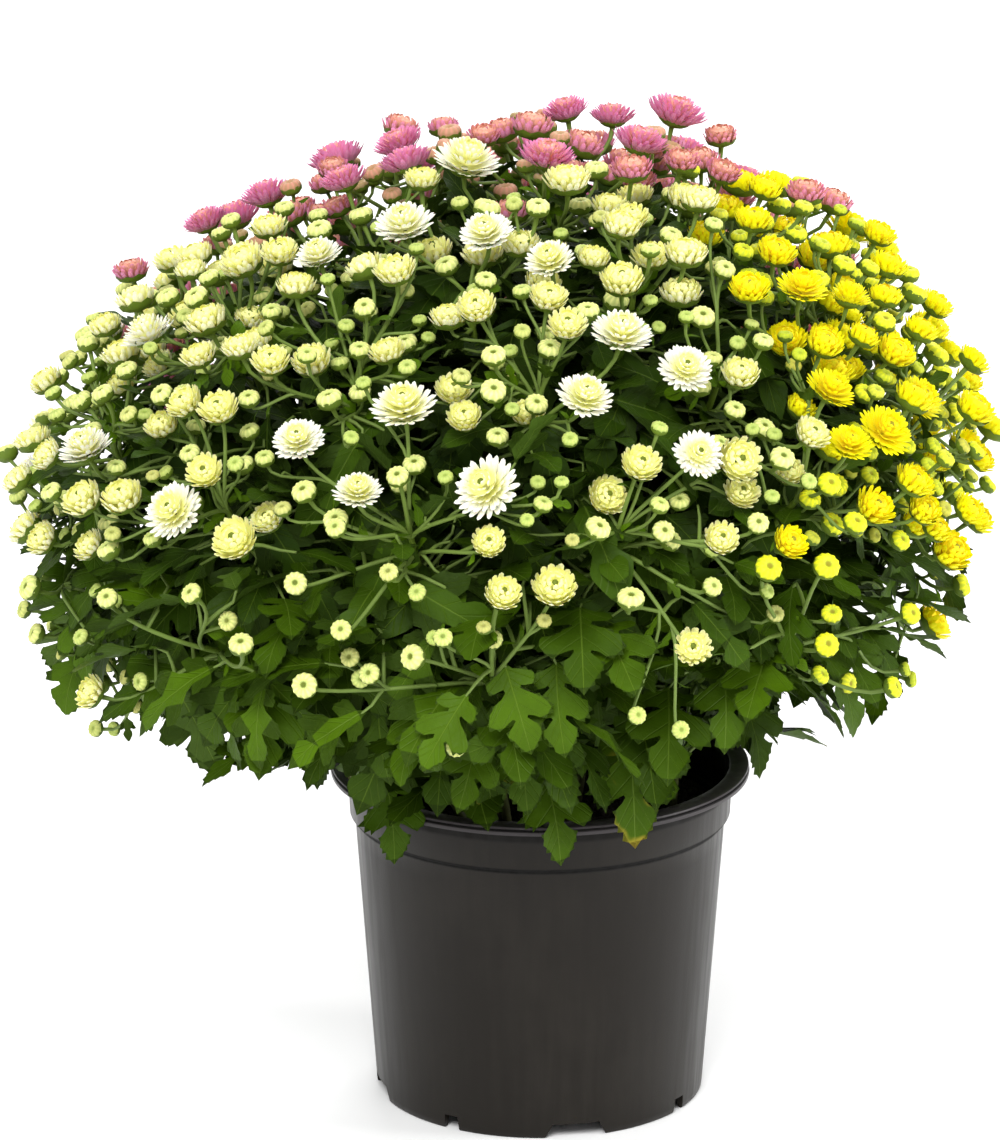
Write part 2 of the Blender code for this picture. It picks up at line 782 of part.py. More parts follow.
def grow_head(bm, root, head):
    """Pedicel from an open triangle to the head's base, and the head on it."""
    start = start_of(root, head.axis)
    half = head.width / 2
    neck = new_ring(bm, ring_points(head.base, head.axis, start, PEDICEL_RADIUS, 3))
    loft(bm, list(root), neck)

    def level(height, radius, sides, offset=0.0):
        middle = head.base + head.axis * height * half
        reach = tuple(r * half for r in radius) if isinstance(radius, tuple) else radius * half
        return new_ring(bm, ring_points(middle, head.axis, start, reach, sides, offset))

    if head.kind == "bloom":
        rim = level(0.52, (1.0, 0.74), 14)
        heart = level(0.86, 0.56, 7, 0.5)
        loft(bm, neck, rim)
        loft(bm, rim, heart)
        fan(bm, heart, head.base + head.axis * half * 0.74)
    elif head.kind == "cup":
        rim = level(1.10, (1.0, 0.76), 10)
        loft(bm, neck, rim)
        fan(bm, rim, head.base + head.axis * half * 0.95)
    else:
        belly = level(0.72, 0.96, 5)
        brow = level(1.50, 0.62, 3, 0.5)
        loft(bm, neck, belly)
        loft(bm, belly, brow)
        bm.faces.new(brow)


def crossings(bm):
    """How many pairs of triangles pass through each other without sharing a corner."""
    bmesh.ops.triangulate(bm, faces=bm.faces)
    bm.faces.ensure_lookup_table()
    tree = BVHTree.FromBMesh(bm, epsilon=0.0)
    corners = [set(v.index for v in face.verts) for face in bm.faces]
    return sum(1 for i, j in tree.overlap(tree) if i < j and not corners[i] & corners[j])


def spray_mesh(spray, heads):
    """The spray with its knobs turned so that no pedicels cross, or without the smallest heads where they would."""
    shoots = sorted(spray.shoots, key=lambda shoot: -heads[shoot[0]].width)
    while True:
        for twist in range(7):
            bm = grow_spray(spray, heads, shoots, math.tau * twist / 21)
            if not crossings(bm):
                return bm
            bm.free()
        shoots = shoots[:-1]


def grow_spray(spray, heads, shoots, turn):
    bm = bmesh.new()
    start = spray.axis.orthogonal()
    ring = new_ring(bm, ring_points(spray.foot, spray.axis, start, STALK_RADIUS, 3))
    bm.faces.new(ring[::-1])
    for station, distance in enumerate(SPRAY_NODES):
        low = spray.foot + spray.axis * distance
        high = low + spray.axis * KNOB_RISE
        borne = [i for i, own in shoots if own == station]
        ends = [heads[i].base for i in borne]
        best = None
        for step in (0, 1, -1, 2, -2):
            offset = turn + step * 0.16
            knob = ring_points(low, spray.axis, start, KNOB_RADIUS, 6, 2 * offset)
            neck = ring_points(high, spray.axis, start, STALK_RADIUS, 3, offset)
            misfit = best_roots(loft_triangles(knob, neck), ends, high, spray.axis)[0] if ends else 0.0
            if best is None or misfit < best[0] - 1e-9:
                best = (misfit, offset, knob, neck)
        turn = best[1]
        lower, upper = new_ring(bm, best[2]), new_ring(bm, best[3])
        loft(bm, ring, lower)
        for i, root in zip(borne, close_node(bm, lower, upper, ends, spray.axis)):
            grow_head(bm, root, heads[i])
        ring = upper
    if spray.end is None:
        bm.faces.new(ring)
    else:
        grow_head(bm, ring, heads[spray.end])
    return bm


def grow_leaf(bm, root, leaf):
    """Petiole from an open triangle, then a lobed blade with both faces split alike."""
    half = LARGE_HALF if leaf.large else SMALL_HALF
    ribs = (0.30, 0.62) if leaf.large else (0.45,)
    neck_width = 0.0013 / leaf.length
    faces = []
    for lift in (0.0, -BLADE):
        sides = []
        for sign in (-1, 1):
            sides.append([bm.verts.new(leaf.at(along, sign * across, lift)) for along, across in half])
        rib = [bm.verts.new(leaf.at(along, 0.0, lift)) for along in ribs]
        faces.append((sides, rib, bm.verts.new(leaf.at(1.0, 0.0, lift))))
    left = bm.verts.new(leaf.at(0.0, -neck_width))
    right = bm.verts.new(leaf.at(0.0, neck_width))
    under = bm.verts.new(leaf.at(0.0, 0.0, -0.0018))
    grow_neck(bm, root, (left, right, under), leaf)
    for (sides, rib, tip), starts in zip(faces, ((left, right), (under, under))):
        for (line, start) in zip(sides, starts):
            if leaf.large:
                one, two, three, four = line
                split = (
                    (start, one, rib[0]), (one, two, rib[0]), (rib[0], two, rib[1]),
                    (two, three, rib[1]), (three, four, rib[1]), (four, tip, rib[1]),
                )
            else:
                one, two = line
                split = ((start, one, rib[0]), (one, two, rib[0]), (two, tip, rib[0]))
            for triangle in split:
                bm.faces.new(triangle)
    bm.faces.new((left, right, faces[0][1][0]))
    for side, start in ((0, left), (1, right)):
        upper = [start] + faces[0][0][side] + [faces[0][2]]
        lower = [under] + faces[1][0][side] + [faces[1][2]]
        for k in range(len(upper) - 1):
            bm.faces.new((upper[k], upper[k + 1], lower[k + 1]))
            bm.faces.new((upper[k], lower[k + 1], lower[k]))


def grow_neck(bm, root, ends, leaf):
    """Joins a root triangle to the blade's three base points, paired so that the petiole isn't wrung."""
    way = (leaf.base - sum((v.co for v in root), Vector()) / 3).normalized()
    first = way.orthogonal().normalized()
    middle = sum((v.co for v in ends), Vector()) / 3
    ordered = sorted(ends, key=lambda v: flat_angle(v.co - middle, way, first))
    heart = sum((v.co for v in root), Vector()) / 3
    from_root = [flat_angle(v.co - heart, way, first) for v in root]

    def wring(shift):
        turned = ordered[shift:] + ordered[:shift]
        angles = [flat_angle(v.co - middle, way, first) for v in turned]
        return sum(abs(math.remainder(a - b, math.tau)) for a, b in zip(angles, from_root))

    shift = min(range(3), key=wring)
    loft(bm, list(root), ordered[shift:] + ordered[:shift])


def grow_tube(bm, ring, stem, number):
    """Grows one tube of a stem from a ring, with its leaves and the tubes that leave it."""
    tube = stem.tubes[number]
    length = tube.length()
    half = 0.0030 / length
    nodes = {}
    for t, leaf in tube.leaves:
        nodes.setdefault(round(t, 4), []).append(leaf)
    for child, other in enumerate(stem.tubes):
        if other.parent == number:
            nodes.setdefault(round(other.at, 4), []).append(child)
    stops = []
    last = tube.clear_from
    for t in sorted(nodes):
        gap = (t - half - last) * length
        extra = int(gap / 0.075)
        stops += [(last + (t - half - last) * (k + 1) / (extra + 1), None) for k in range(extra)]
        stops += [(t - half, None), (t + half, nodes[t])]
        last = t + half
    extra = int((1.0 - last) * length / 0.075)
    stops += [(last + (1.0 - last) * (k + 1) / (extra + 1), None) for k in range(extra + 1)]
    for t, things in stops:
        middle, axis = bezier(tube.curve, t), bezier_way(tube.curve, t)
        points = ring_points(middle, axis, start_of(ring, axis), tube.radius(t), len(ring))
        upper = new_ring(bm, points)
        if not things:
            loft(bm, ring, upper)
        else:
            ends = [thing.base if isinstance(thing, Leaf) else bezier(stem.tubes[thing].curve, 0.3)
                    for thing in things]
            for thing, root in zip(things, close_node(bm, ring, upper, ends, axis)):
                if isinstance(thing, Leaf):
                    grow_leaf(bm, root, thing)
                else:
                    grow_branch(bm, root, stem, thing)
        ring = upper
    bm.faces.new(ring)


def grow_branch(bm, root, stem, number):
    """A tube that starts from a triangle of its parent, with its first ring where it is clear of the parent."""
    tube, parent = stem.tubes[number], stem.tubes[stem.tubes[number].parent]
    trunk = [bezier(parent.curve, k / 60) for k in range(61)]
    apart = parent.radius(tube.at) + tube.radii[0] + 0.0016
    t = 0.010 / tube.length()
    while min((bezier(tube.curve, t) - point).length for point in trunk) < apart:
        t += 0.004
    tube.clear_from = t
    middle, axis = bezier(tube.curve, t), bezier_way(tube.curve, t)
    ring = new_ring(bm, ring_points(middle, axis, start_of(root, axis), tube.radius(t), 3))
    loft(bm, list(root), ring)
    grow_tube(bm, ring, stem, number)


def grow_stem(stem):
    bm = bmesh.new()
    start = plane_way(0.0)
    ring = new_ring(bm, ring_points(stem.base, UP, start, STEM_RADIUS, 4))
    bm.faces.new(ring[::-1])
    top = stem.base.copy()
    top.z = SOIL_Z + SOIL_CROWN + 0.004
    upper = new_ring(bm, ring_points(top, UP, start, STEM_RADIUS, 4))
    loft(bm, ring, upper)
    grow_tube(bm, upper, stem, 0)
    return bm


def stem_mesh(stem):
    """The stem, without the leaves that would cross it or each other."""
    bm = grow_stem(stem)
    count = crossings(bm)
    while count:
        trials = []
        for tube in stem.tubes:
            for place in list(tube.leaves):
                tube.leaves.remove(place)
                trial = grow_stem(stem)
                trials.append((crossings(trial), place[0], tube, place))
                trial.free()
                tube.leaves.append(place)
        count, _, tube, place = min(trials, key=lambda trial: trial[:2])
        tube.leaves.remove(place)
        bm.free()
        bm = grow_stem(stem)
    return bm


# Objects


def material(name, colour, roughness):
    made = bpy.data.materials.new(name)
    made.use_nodes = True
    shader = made.node_tree.nodes["Principled BSDF"]
    shader.inputs["Base Color"].default_value = (*colour, 1.0)
    shader.inputs["Roughness"].default_value = roughness
    return made


def add_object(name, bm, colour, roughness=0.6):
    bmesh.ops.recalc_face_normals(bm, faces=bm.faces)
    mesh = bpy.data.meshes.new(name)
    bm.to_mesh(mesh)
    bm.free()
    made = bpy.data.objects.new(name, mesh)
    made.location = POT_AT
    bpy.context.scene.collection.objects.link(made)
    mesh.materials.append(material(name, COLOURS[colour], roughness))
    return made


def turned_profile(points):
    """A line of (radius, height) points, ready to be turned round the Z axis."""
    bm = bmesh.new()
    verts = [bm.verts.new((radius, 0.0, height)) for radius, height in points]
    for a, b in zip(verts, verts[1:]):
        bm.edges.new((a, b))
    return bm


def screw(made, sides):
    turn = made.modifiers.new("turn", "SCREW")
    turn.axis = "Z"
    turn.steps = turn.render_steps = sides
    turn.use_merge_vertices = True
    turn.merge_threshold = 0.0001
    turn.use_smooth_shade = True


def cut(made, cutter):
    cutter.hide_render = True
    cutter.display_type = "WIRE"
    boolean = made.modifiers.new("cut_" + cutter.name, "BOOLEAN")
    boolean.operation = "DIFFERENCE"
    boolean.object = cutter


def notch(bm, turn, widths):
    """A wedge through the foot of the pot's wall, wider at the ground."""
    out = plane_way(turn)
    side = Vector((-out.y, out.x, 0.0))
    corners = []
    for reach in (BASE_RADIUS - 0.016, BASE_RADIUS + 0.010):
        for across, height in ((-0.5 * widths[0], -0.002), (0.5 * widths[0], -0.002),
                               (0.5 * widths[1], FLOOR_Z - 0.001), (-0.5 * widths[1], FLOOR_Z - 0.001)):
            corners.append(bm.verts.new(out * reach + side * across + UP * height))
    inner, outer = corners[:4], corners[4:]
    bm.faces.new(inner[::-1])
    bm.faces.new(outer)
    for k in range(4):
        bm.faces.new((inner[k], inner[(k + 1) % 4], outer[(k + 1) % 4], outer[k]))


def post(bm, middle, radius, low, high, sides):
    rings = []
    for height in (low, high):
        point = Vector((middle.x, middle.y, height))
        rings.append(new_ring(bm, ring_points(point, UP, plane_way(0.0), radius, sides)))
    bm.faces.new(rings[0][::-1])
    bm.faces.new(rings[1])
    for k in range(sides):
        n = (k + 1) % sides
        bm.faces.new((rings[0][k], rings[0][n], rings[1][n], rings[1][k]))


def add_pot():
    inside = BASE_RADIUS - WALL
    profile = (
        (0.0, FLOOR_Z + FLOOR_THICK),
        (inside - 0.002, FLOOR_Z + FLOOR_THICK),
        (BODY_TOP_RADIUS - WALL, COLLAR_FOOT_Z - 0.001),
        (COLLAR_FOOT_RADIUS - WALL, COLLAR_FOOT_Z + 0.003),
        (COLLAR_TOP_RADIUS - WALL, POT_HEIGHT),
        (LIP_RADIUS - 0.002, POT_HEIGHT),
        (LIP_RADIUS, POT_HEIGHT - LIP_DROP),
        (LIP_RADIUS - WALL, POT_HEIGHT - LIP_DROP),
        (COLLAR_TOP_RADIUS + 0.003, POT_HEIGHT - WALL - 0.001),
        (COLLAR_TOP_RADIUS, POT_HEIGHT - 0.005),
        (COLLAR_FOOT_RADIUS, COLLAR_FOOT_Z),
        (BODY_TOP_RADIUS, COLLAR_FOOT_Z - 0.001),
        (BASE_RADIUS, 0.0),
        (BASE_RADIUS - 0.003, 0.0),
        (inside - 0.003, FLOOR_Z),
        (0.0, FLOOR_Z),
    )
    pot = add_object("pot", turned_profile(profile), "pot", 0.42)
    screw(pot, POT_SIDES)
    bm = bmesh.new()
    for quarter in range(4):
        turn = math.radians(NOTCH_TURN + 90 * quarter)
        notch(bm, turn, WIDE_NOTCH)
        notch(bm, turn - math.radians(45), NARROW_NOTCH)
        spot = plane_way(turn - math.radians(45)) * DRAIN_RING
        post(bm, spot, DRAIN_RADIUS, FLOOR_Z - 0.004, FLOOR_Z + 0.006, 8)
    post(bm, Vector(), DRAIN_RADIUS, FLOOR_Z - 0.004, FLOOR_Z + 0.006, 8)
    cut(pot, add_object("foot_notches_and_drains", bm, "pot"))


def add_soil(stems):
    low = FLOOR_Z + FLOOR_THICK + GAP
    profile = (
        (0.0, SOIL_Z + SOIL_CROWN),
        (BODY_TOP_RADIUS - WALL - 0.0008, COLLAR_FOOT_Z - 0.002),
        (BASE_RADIUS - WALL - 0.0026, low),
        (0.0, low),
    )
    soil = add_object("soil", turned_profile(profile), "soil", 0.95)
    screw(soil, SOIL_SIDES)
    bm = bmesh.new()
    for stem in stems:
        post(bm, stem.base, HOLE_RADIUS, SOIL_Z - HOLE_DEPTH, SOIL_Z + 0.02, 4)
    cut(soil, add_object("stem_holes", bm, "soil"))


def clear_scene():
    for made in list(bpy.data.objects):
        bpy.data.objects.remove(made, do_unlink=True)


def main():
    clear_scene()
    heads, sprays, stems = plan_plant()
    add_pot()
    add_soil(stems)
    for stem in stems:
        add_object(stem.name, stem_mesh(stem), "green", 0.55)
    numbers = {"white": 0, "yellow": 0, "pink": 0}
    for spray in sprays:
        numbers[spray.colour] += 1
        name = f"{spray.colour}_spray_{numbers[spray.colour]}"
        add_object(name, spray_mesh(spray, heads), spray.colour, 0.6)


main()
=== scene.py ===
"""Looks for a pot chrysanthemum: layered petals, lobed leaves, green stalks, soil and a dark moulded pot."""

import itertools
import math
import random
from collections import Counter

import bmesh
import bpy
from mathutils import Euler, Matrix, Vector, noise
from mathutils.geometry import delaunay_2d_cdt


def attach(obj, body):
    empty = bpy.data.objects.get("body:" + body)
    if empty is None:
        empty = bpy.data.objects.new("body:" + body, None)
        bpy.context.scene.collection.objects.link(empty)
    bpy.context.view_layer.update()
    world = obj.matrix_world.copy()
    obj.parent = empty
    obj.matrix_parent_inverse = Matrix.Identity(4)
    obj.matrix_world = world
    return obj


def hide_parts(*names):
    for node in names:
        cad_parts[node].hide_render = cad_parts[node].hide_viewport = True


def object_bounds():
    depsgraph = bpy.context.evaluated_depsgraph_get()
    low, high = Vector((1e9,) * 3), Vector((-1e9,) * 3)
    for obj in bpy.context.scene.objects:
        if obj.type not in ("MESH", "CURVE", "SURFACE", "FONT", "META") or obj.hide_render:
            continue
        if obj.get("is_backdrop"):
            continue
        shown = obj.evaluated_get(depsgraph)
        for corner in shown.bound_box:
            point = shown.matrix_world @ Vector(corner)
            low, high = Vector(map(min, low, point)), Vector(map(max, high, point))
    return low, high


# Metres throughout. The ground is z = 0 and the pot's axis stands at POT_AT.
POT_AT = Vector((0.018, 0.0, 0.0))
UP = Vector((0.0, 0.0, 1.0))
GAP = 0.0003
SEED = 23

# Pot: a 23 cm thin-walled nursery pot with a rolled lip, a collar and a raised floor.
POT_HEIGHT = 0.187
LIP_RADIUS = 0.115
LIP_DROP = 0.005
COLLAR_TOP_RADIUS = 0.1055
COLLAR_FOOT_RADIUS = 0.1045
COLLAR_FOOT_Z = 0.1585
BODY_TOP_RADIUS = 0.1015
BASE_RADIUS = 0.090
WALL = 0.0018
FLOOR_Z = 0.009
FLOOR_THICK = 0.002
WIDE_NOTCH = (0.036, 0.026)
NARROW_NOTCH = (0.010, 0.008)
NOTCH_TURN = 12.5
DRAIN_RADIUS = 0.006
DRAIN_RING = 0.062

# Soil: fills the pot to SOIL_Z at the wall and a little higher in the middle. The stems stand in holes.
SOIL_Z = 0.162
SOIL_CROWN = 0.004
HOLE_DEPTH = 0.025

# Crown: the rounded surface that the heads lie on, centred over the pot and leaning a little. The powers say
# how boxy its outline is above and below its widest level.
CROWN_Z = 0.347
CROWN_HALF_WIDTH = 0.268
CROWN_HALF_DEPTH = 0.250
CROWN_RISE = 0.198
CROWN_FALL = 0.215
RISE_POWER = 1.8
FALL_POWER = 2.2
CROWN_AT_X = -0.026
CROWN_LEAN = 0.036

# Borders between the three plants. The pink one stands behind PINK_FROM_Y, further back beside each of the
# places in X, by a slope, and never further back than PINK_BACK_Y. The yellow one stands right of a slope.
PINK_FROM_Y = -0.033
PINK_LEFT = (-0.10, -1.11)
PINK_RIGHT = (0.02, 0.85)
PINK_BACK_Y = 0.13
YELLOW_FROM_X = 0.06
YELLOW_FROM_Y = 0.04
YELLOW_SLOPE = 0.36

# The eye of the front view, the distance at which its marks are given, and how deep the crown is searched.
EYE = Vector((-0.022, -3.6, 1.385))
EYE_PITCH = math.radians(16.83)
MARK_DISTANCE = 3.793
MARK_ORIGIN = (0.022, -0.104)
SIGHT_START = 0.45
SIGHT_STEP = 0.002
SIGHT_STEPS = 400

# Heads that stand out in the front view: across and up from the rim's centre, and width, in millimetres.
WHITE_MARKS = (
    (-40, 330, 34), (-75, 295, 30), (-80, 270, 21), (-65, 320, 18), (-95, 290, 18),
    (-30, 290, 27), (15, 320, 23), (5, 275, 25), (5, 255, 19), (-35, 250, 20),
    (-70, 235, 19), (15, 240, 19), (45, 265, 22), (45, 295, 20), (45, 235, 31),
    (80, 215, 27), (80, 280, 22), (25, 200, 28), (-75, 195, 32), (-90, 178, 22),
    (-30, 150, 33), (-5, 145, 19), (-100, 148, 24), (87, 168, 25), (110, 165, 23),
    (128, 172, 22), (150, 180, 18), (-133, 176, 26), (-118, 160, 23), (-177, 194, 20),
    (-196, 197, 19), (-250, 172, 28), (-288, 155, 18), (-272, 168, 18), (-202, 137, 30),
    (-182, 143, 24), (-214, 150, 19), (-216, 235, 28), (-184, 243, 23), (-190, 278, 20),
    (-164, 275, 23), (-143, 280, 19), (-122, 278, 24), (-134, 262, 20), (-165, 228, 19),
    (-148, 220, 19), (100, 122, 18), (84, 62, 18), (50, 90, 15), (-20, 92, 19),
    (-28, 120, 17),
)
YELLOW_MARKS = (
    (144, 260, 26), (170, 255, 24), (190, 181, 29), (170, 174, 24), (160, 204, 26),
    (206, 200, 21), (130, 280, 20), (115, 260, 20), (117, 298, 19), (124, 315, 18),
    (157, 230, 20), (178, 234, 17), (196, 225, 20), (192, 273, 20), (190, 256, 18),
    (140, 195, 19), (206, 154, 20), (212, 138, 18), (236, 138, 18), (158, 107, 15),
    (138, 120, 18), (126, 106, 15),
)
PINK_MARKS = (
    (-108, 319, 25), (-112, 331, 30), (-78, 339, 26), (-76, 349, 20), (4, 332, 28),
    (-4, 350, 22), (14, 357, 24), (40, 354, 24), (55, 340, 28), (50, 326, 21),
    (75, 356, 31), (-31, 344, 17), (-50, 346, 14), (99, 344, 18), (78, 330, 18),
    (101, 324, 18), (122, 323, 19), (108, 311, 17), (146, 313, 21), (162, 308, 21),
    (-184, 296, 24), (-196, 286, 20), (-225, 270, 19), (-210, 277, 19),
)

# Heads: the widest bud and cup, how far the middle of each stands above its base, in widths, how they face,
# and how much of the crown they cover, as the cosine that it falls by.
BUD_WIDTH = 0.016
CUP_WIDTH = 0.0235
STAND = {"bloom": 0.30, "cup": 0.42, "bud": 0.50}
HEAD_OUT = 0.55
HEAD_UP = 0.45
HEAD_JITTER = (0.14, 0.14, 0.10)
HEAD_FALL = 1.5
HEAD_GAP = 0.0012
PEDICEL_RADIUS = 0.0012

# Heads that fill the crown: how many places are tried, the shares of blooms and of cups, each kind's least
# width and spread, the depths they lie at, and the room that they and the marked ones need.
HEAD_TRIES = 405
KIND_SHARES = {"white": (0.08, 0.42), "yellow": (0.08, 0.44), "pink": (0.24, 0.44)}
FILLING_WIDTHS = {"bloom": (0.024, 0.007), "cup": (0.0165, 0.0065), "bud": (0.0105, 0.0050)}
FILLING_DEPTHS = (-0.004, 0.016)
FILLING_GAP = 0.0015
MARKED_SHARE = 0.38

# Skirt of the crown, as heights above the rim at the sides and what is added in front: the lowest heads, and
# where the crown is full of them. Below SKIRT_TOP of the way between them the heads are small.
LOWEST_HEAD = 0.045
LOWEST_IN_FRONT = 0.115
FULL_FROM = 0.150
FULL_IN_FRONT = 0.075
SKIRT_TOP = 0.9

# Sprays: rings of anchors on the crown, as polar angle in degrees and number, how far a stalk's foot lies
# under its anchor, the nodes along the stalk, and how far shoots may reach and share their room.
SPRAY_RINGS = ((12, 2), (33, 7), (54, 10), (75, 12), (97, 8))
SPRAY_DEPTH = 0.080
SPRAY_REACH = 0.105
KNOB_RISE = 0.0015
SPRAY_NODES = (0.012, 0.030)
SHOOTS_PER_NODE = 6
SHARED_LENGTH = 0.022
STALK_RADIUS = 0.0018
WOOD_STEP = 0.004

# Stems: for each ring of the crown that they carry, the radius they start at, the most sprays and leaves on
# one, and whether those leaves start low. Then their nodes, radii and branches.
TIERS = (
    {"rings": (4,), "start": 0.076, "most": 2, "leaves": 10, "low": True},
    {"rings": (3,), "start": 0.057, "most": 3, "leaves": 6, "low": True},
    {"rings": (2,), "start": 0.038, "most": 3, "leaves": 3, "low": False},
    {"rings": (1, 0), "start": 0.018, "most": 4, "leaves": 2, "low": False},
)
INTERNODE = 0.030
NODE_GAP = 0.012
STEM_RADIUS = 0.0030
BRANCH_RADIUS = 0.0024
STEM_TIP_RADIUS = 0.0020
FIRST_BRANCH = 0.42
BRANCH_STEP = 0.13

# Leaves that hang over the rim or stand out in the front view: base and tip, each as across and up from
# the rim's centre as seen, and how far in front of the pot's axis, in millimetres.
LEAF_MARKS = (
    ((46, 19, 105), (50, -47, 137)),
    ((0, -2, 108), (11, -56, 138)),
    ((-84, -6, 84), (-78, -56, 104)),
    ((-34, 18, 120), (-26, -32, 142)),
    ((-105, 33, 85), (-121, -16, 100)),
    ((-150, 66, 60), (-206, 56, 75)),
    ((101, 44, 90), (118, -10, 105)),
    ((151, 62, 50), (170, 12, 60)),
    ((-85, 36, 130), (-36, 40, 155)),
    ((-215, 84, 10), (-262, 62, 15)),
    ((196, 60, 10), (222, 18, 10)),
    ((20, 62, 150), (60, 36, 170)),
)
VIEW_SLOPE = math.radians(18.4)
MARKED_DROOP = 0.75

# Planned leaves: the ranges of their rise, length and petiole low and high on the plant, and how near the
# pot they come.
LOW_LEAVES = ((-0.45, 0.10), (0.052, 0.072), (0.012, 0.034))
HIGH_LEAVES = ((0.0, 0.65), (0.040, 0.056), (0.010, 0.018))
LEAF_TRIES = 12
LEAF_HALF = 0.0042
LEAF_OFF_RIM = 0.006
LEAF_OFF_WALL = 0.005
LEAF_INSIDE = 0.094
LOWEST_OUTSIDE = 0.100

# Marks where no planned leaf found room, how near a leaf's tip is to its mark, and how low leaves may hang
# as seen from the front: right of one place in X, left of another, and between them. Further back than
# FRONT_TO_Y they hang free.
BARE_MARKS = (2, 6)
AT_MARK = 0.004
RIGHT_FROM_X = 0.080
LEFT_FROM_X = -0.100
LOWEST_RIGHT = 0.006
LOWEST_LEFT = -0.014
LOWEST_LEAF = -0.034
FRONT_TO_Y = 0.06

# Finer heads: how many forms each kind has, their size against the planned ones, and the width under which
# a bud is young, down to all young.
HEAD_FORMS = 6
HEAD_SCALE = {"bloom": 1.08, "cup": 1.06, "bud": 0.96}
YOUNG_WIDTH = 0.0125
YOUNG_SPREAD = 0.0040

# Further heads: how many places are tried, how far down the skirt, their room and depths, the shares of those
# places that bear one in the crown and in its skirt, the share of small ones, the widths, the forks of the
# pedicels that they grow on, and where their own pedicels have to be free. Small leaves stand on pedicels at
# some shares of their length, with a chance for each.
SIDE_HEAD_TRIES = 3600
SIDE_FOOT = -0.25
SIDE_GAP = 0.0004
SIDE_DEPTHS = (-0.002, 0.034)
SIDE_SHARE = {"white": 0.52, "yellow": 1.00, "pink": 0.50}
SKIRT_SHARE = {"white": 0.065, "yellow": 0.045, "pink": 0.080}
SMALL_SHARE = {"white": 0.62, "yellow": 0.58, "pink": 0.50}
SMALL_WIDTHS = (0.0080, 0.0145)
SKIRT_WIDTHS = (0.0080, 0.0120)
LARGE_WIDTHS = (0.0165, 0.0225)
FORKS = (0.12, 0.25, 0.38, 0.52, 0.64)
FORK_REACH = (0.010, 0.075)
FORK_BEND = 0.62
SHOOT_CHECKS = (0.35, 0.5, 0.65, 0.8, 0.9)
BRACTS = ((0.02, 0.55), (0.45, 0.35), (0.7, 0.2))

# Further leaves: how many places are tried under the flowers and deeper in, how much of the crown they
# cover, the depths they lie at, and how far from the wood they may grow. Then the wood's points, the number
# of poses, the heights of the low and the top ones over the rim, and their lengths and room.
FILLER_TRIES = 2400
DEEP_TRIES = 1300
LEAF_FALL = 1.88
DEEP_DEPTHS = (0.045, 0.150)
OUTER_DEPTHS = (0.016, 0.034)
INNER_DEPTHS = (0.034, 0.110)
PETIOLE_REACH = (0.004, 0.045)
WOOD_CELL = 0.03
WOOD_SPACING = 0.007
WOOD_UNDER_RIM = 0.012
WOOD_OVER_LEAF = 0.012
PEDICEL_SPOTS = (0.0, 0.12, 0.25, 0.4, 0.55)
POSES = 9
DEEP_POSES = 4
LOW_TO = 0.150
TOP_FROM = 0.230
TOP_DEPTH = 0.66
LARGE_SHARE = 0.75
FILLER_JITTER = (0.45, 0.45, 0.25)
DEEP_LENGTHS = (0.046, 0.066)
LOW_LENGTHS = (0.045, 0.068)
HIGH_LENGTHS = (0.032, 0.050)
FILLER_ROOM = 0.42
FILLER_GAP = 0.0012

# Leaf blades, in leaf lengths, the soil's crumbs and mesh, and the steps round the pot.
LEAF_THICK = 0.010
LEAF_FOLD = 0.16
CRUMBS = 900
CRUMB_FORMS = 4
CRUMB_SIZES = (0.0010, 0.0014, 0.0018, 0.0026)
SOIL_RINGS = 34
SOIL_SIDES = 96
POT_STEPS = 144

# Colours, as linear red, green and blue. Of the petals: their tip, inner part, half-open head, heart, closed
# bud and young bud, then how much of the tip a half-open head shows, and the sheen.
PETAL_LOOKS = {
    "white": {
        "tip": (0.96, 0.95, 0.84), "inner": (0.95, 0.94, 0.34), "half_open": (0.94, 0.92, 0.34),
        "heart": (0.13, 0.17, 0.01), "bud": (0.58, 0.65, 0.20), "young": (0.36, 0.47, 0.09),
        "tip_share": 0.50, "sheen": 0.03,
    },
    "yellow": {
        # The yellow's inner colour is its own yellow deepened towards orange as painted shade at the petals'
        # roots.
        "tip": (1.00, 0.93, 0.001), "inner": (0.97, 0.77, 0.0), "half_open": (1.00, 0.93, 0.002),
        "heart": (0.30, 0.27, 0.01), "bud": (0.55, 0.62, 0.02), "young": (0.38, 0.47, 0.02),
        "tip_share": 0.85, "sheen": 0.02,
    },
    "pink": {
        "tip": (0.80, 0.27, 0.50), "inner": (0.82, 0.42, 0.30), "half_open": (0.64, 0.27, 0.20),
        "heart": (0.40, 0.22, 0.08), "bud": (0.44, 0.25, 0.13), "young": (0.30, 0.24, 0.09),
        "tip_share": 0.85, "sheen": 0.05,
    },
}
BUD_BROWN = (0.42, 0.31, 0.11)
# The leaves' fresh colour below is the bright end of their random tone and also their painted light on leaves
# low in front; their shaded colour is painted shade deep in the crown.
LEAF_DEEP = (0.028, 0.069, 0.001)
LEAF_FRESH_AND_PAINTED_LIGHT = (0.104, 0.205, 0.002)
LEAF_SHADED = (0.008, 0.020, 0.001)
LEAF_UNDER = (0.060, 0.105, 0.016)
LEAF_VEIN = (0.125, 0.205, 0.020)
LEAF_YELLOW = (0.270, 0.225, 0.020)
LEAF_BROWN = (0.150, 0.075, 0.020)
STALK_LOW = (0.060, 0.108, 0.008)
STALK_HIGH = (0.118, 0.184, 0.016)
STALK_PALE = (0.210, 0.300, 0.080)
STALK_FOOT = (0.070, 0.072, 0.024)
POT_DARK = (0.0070, 0.0051, 0.0031)
POT_DUSTY = (0.026, 0.022, 0.017)
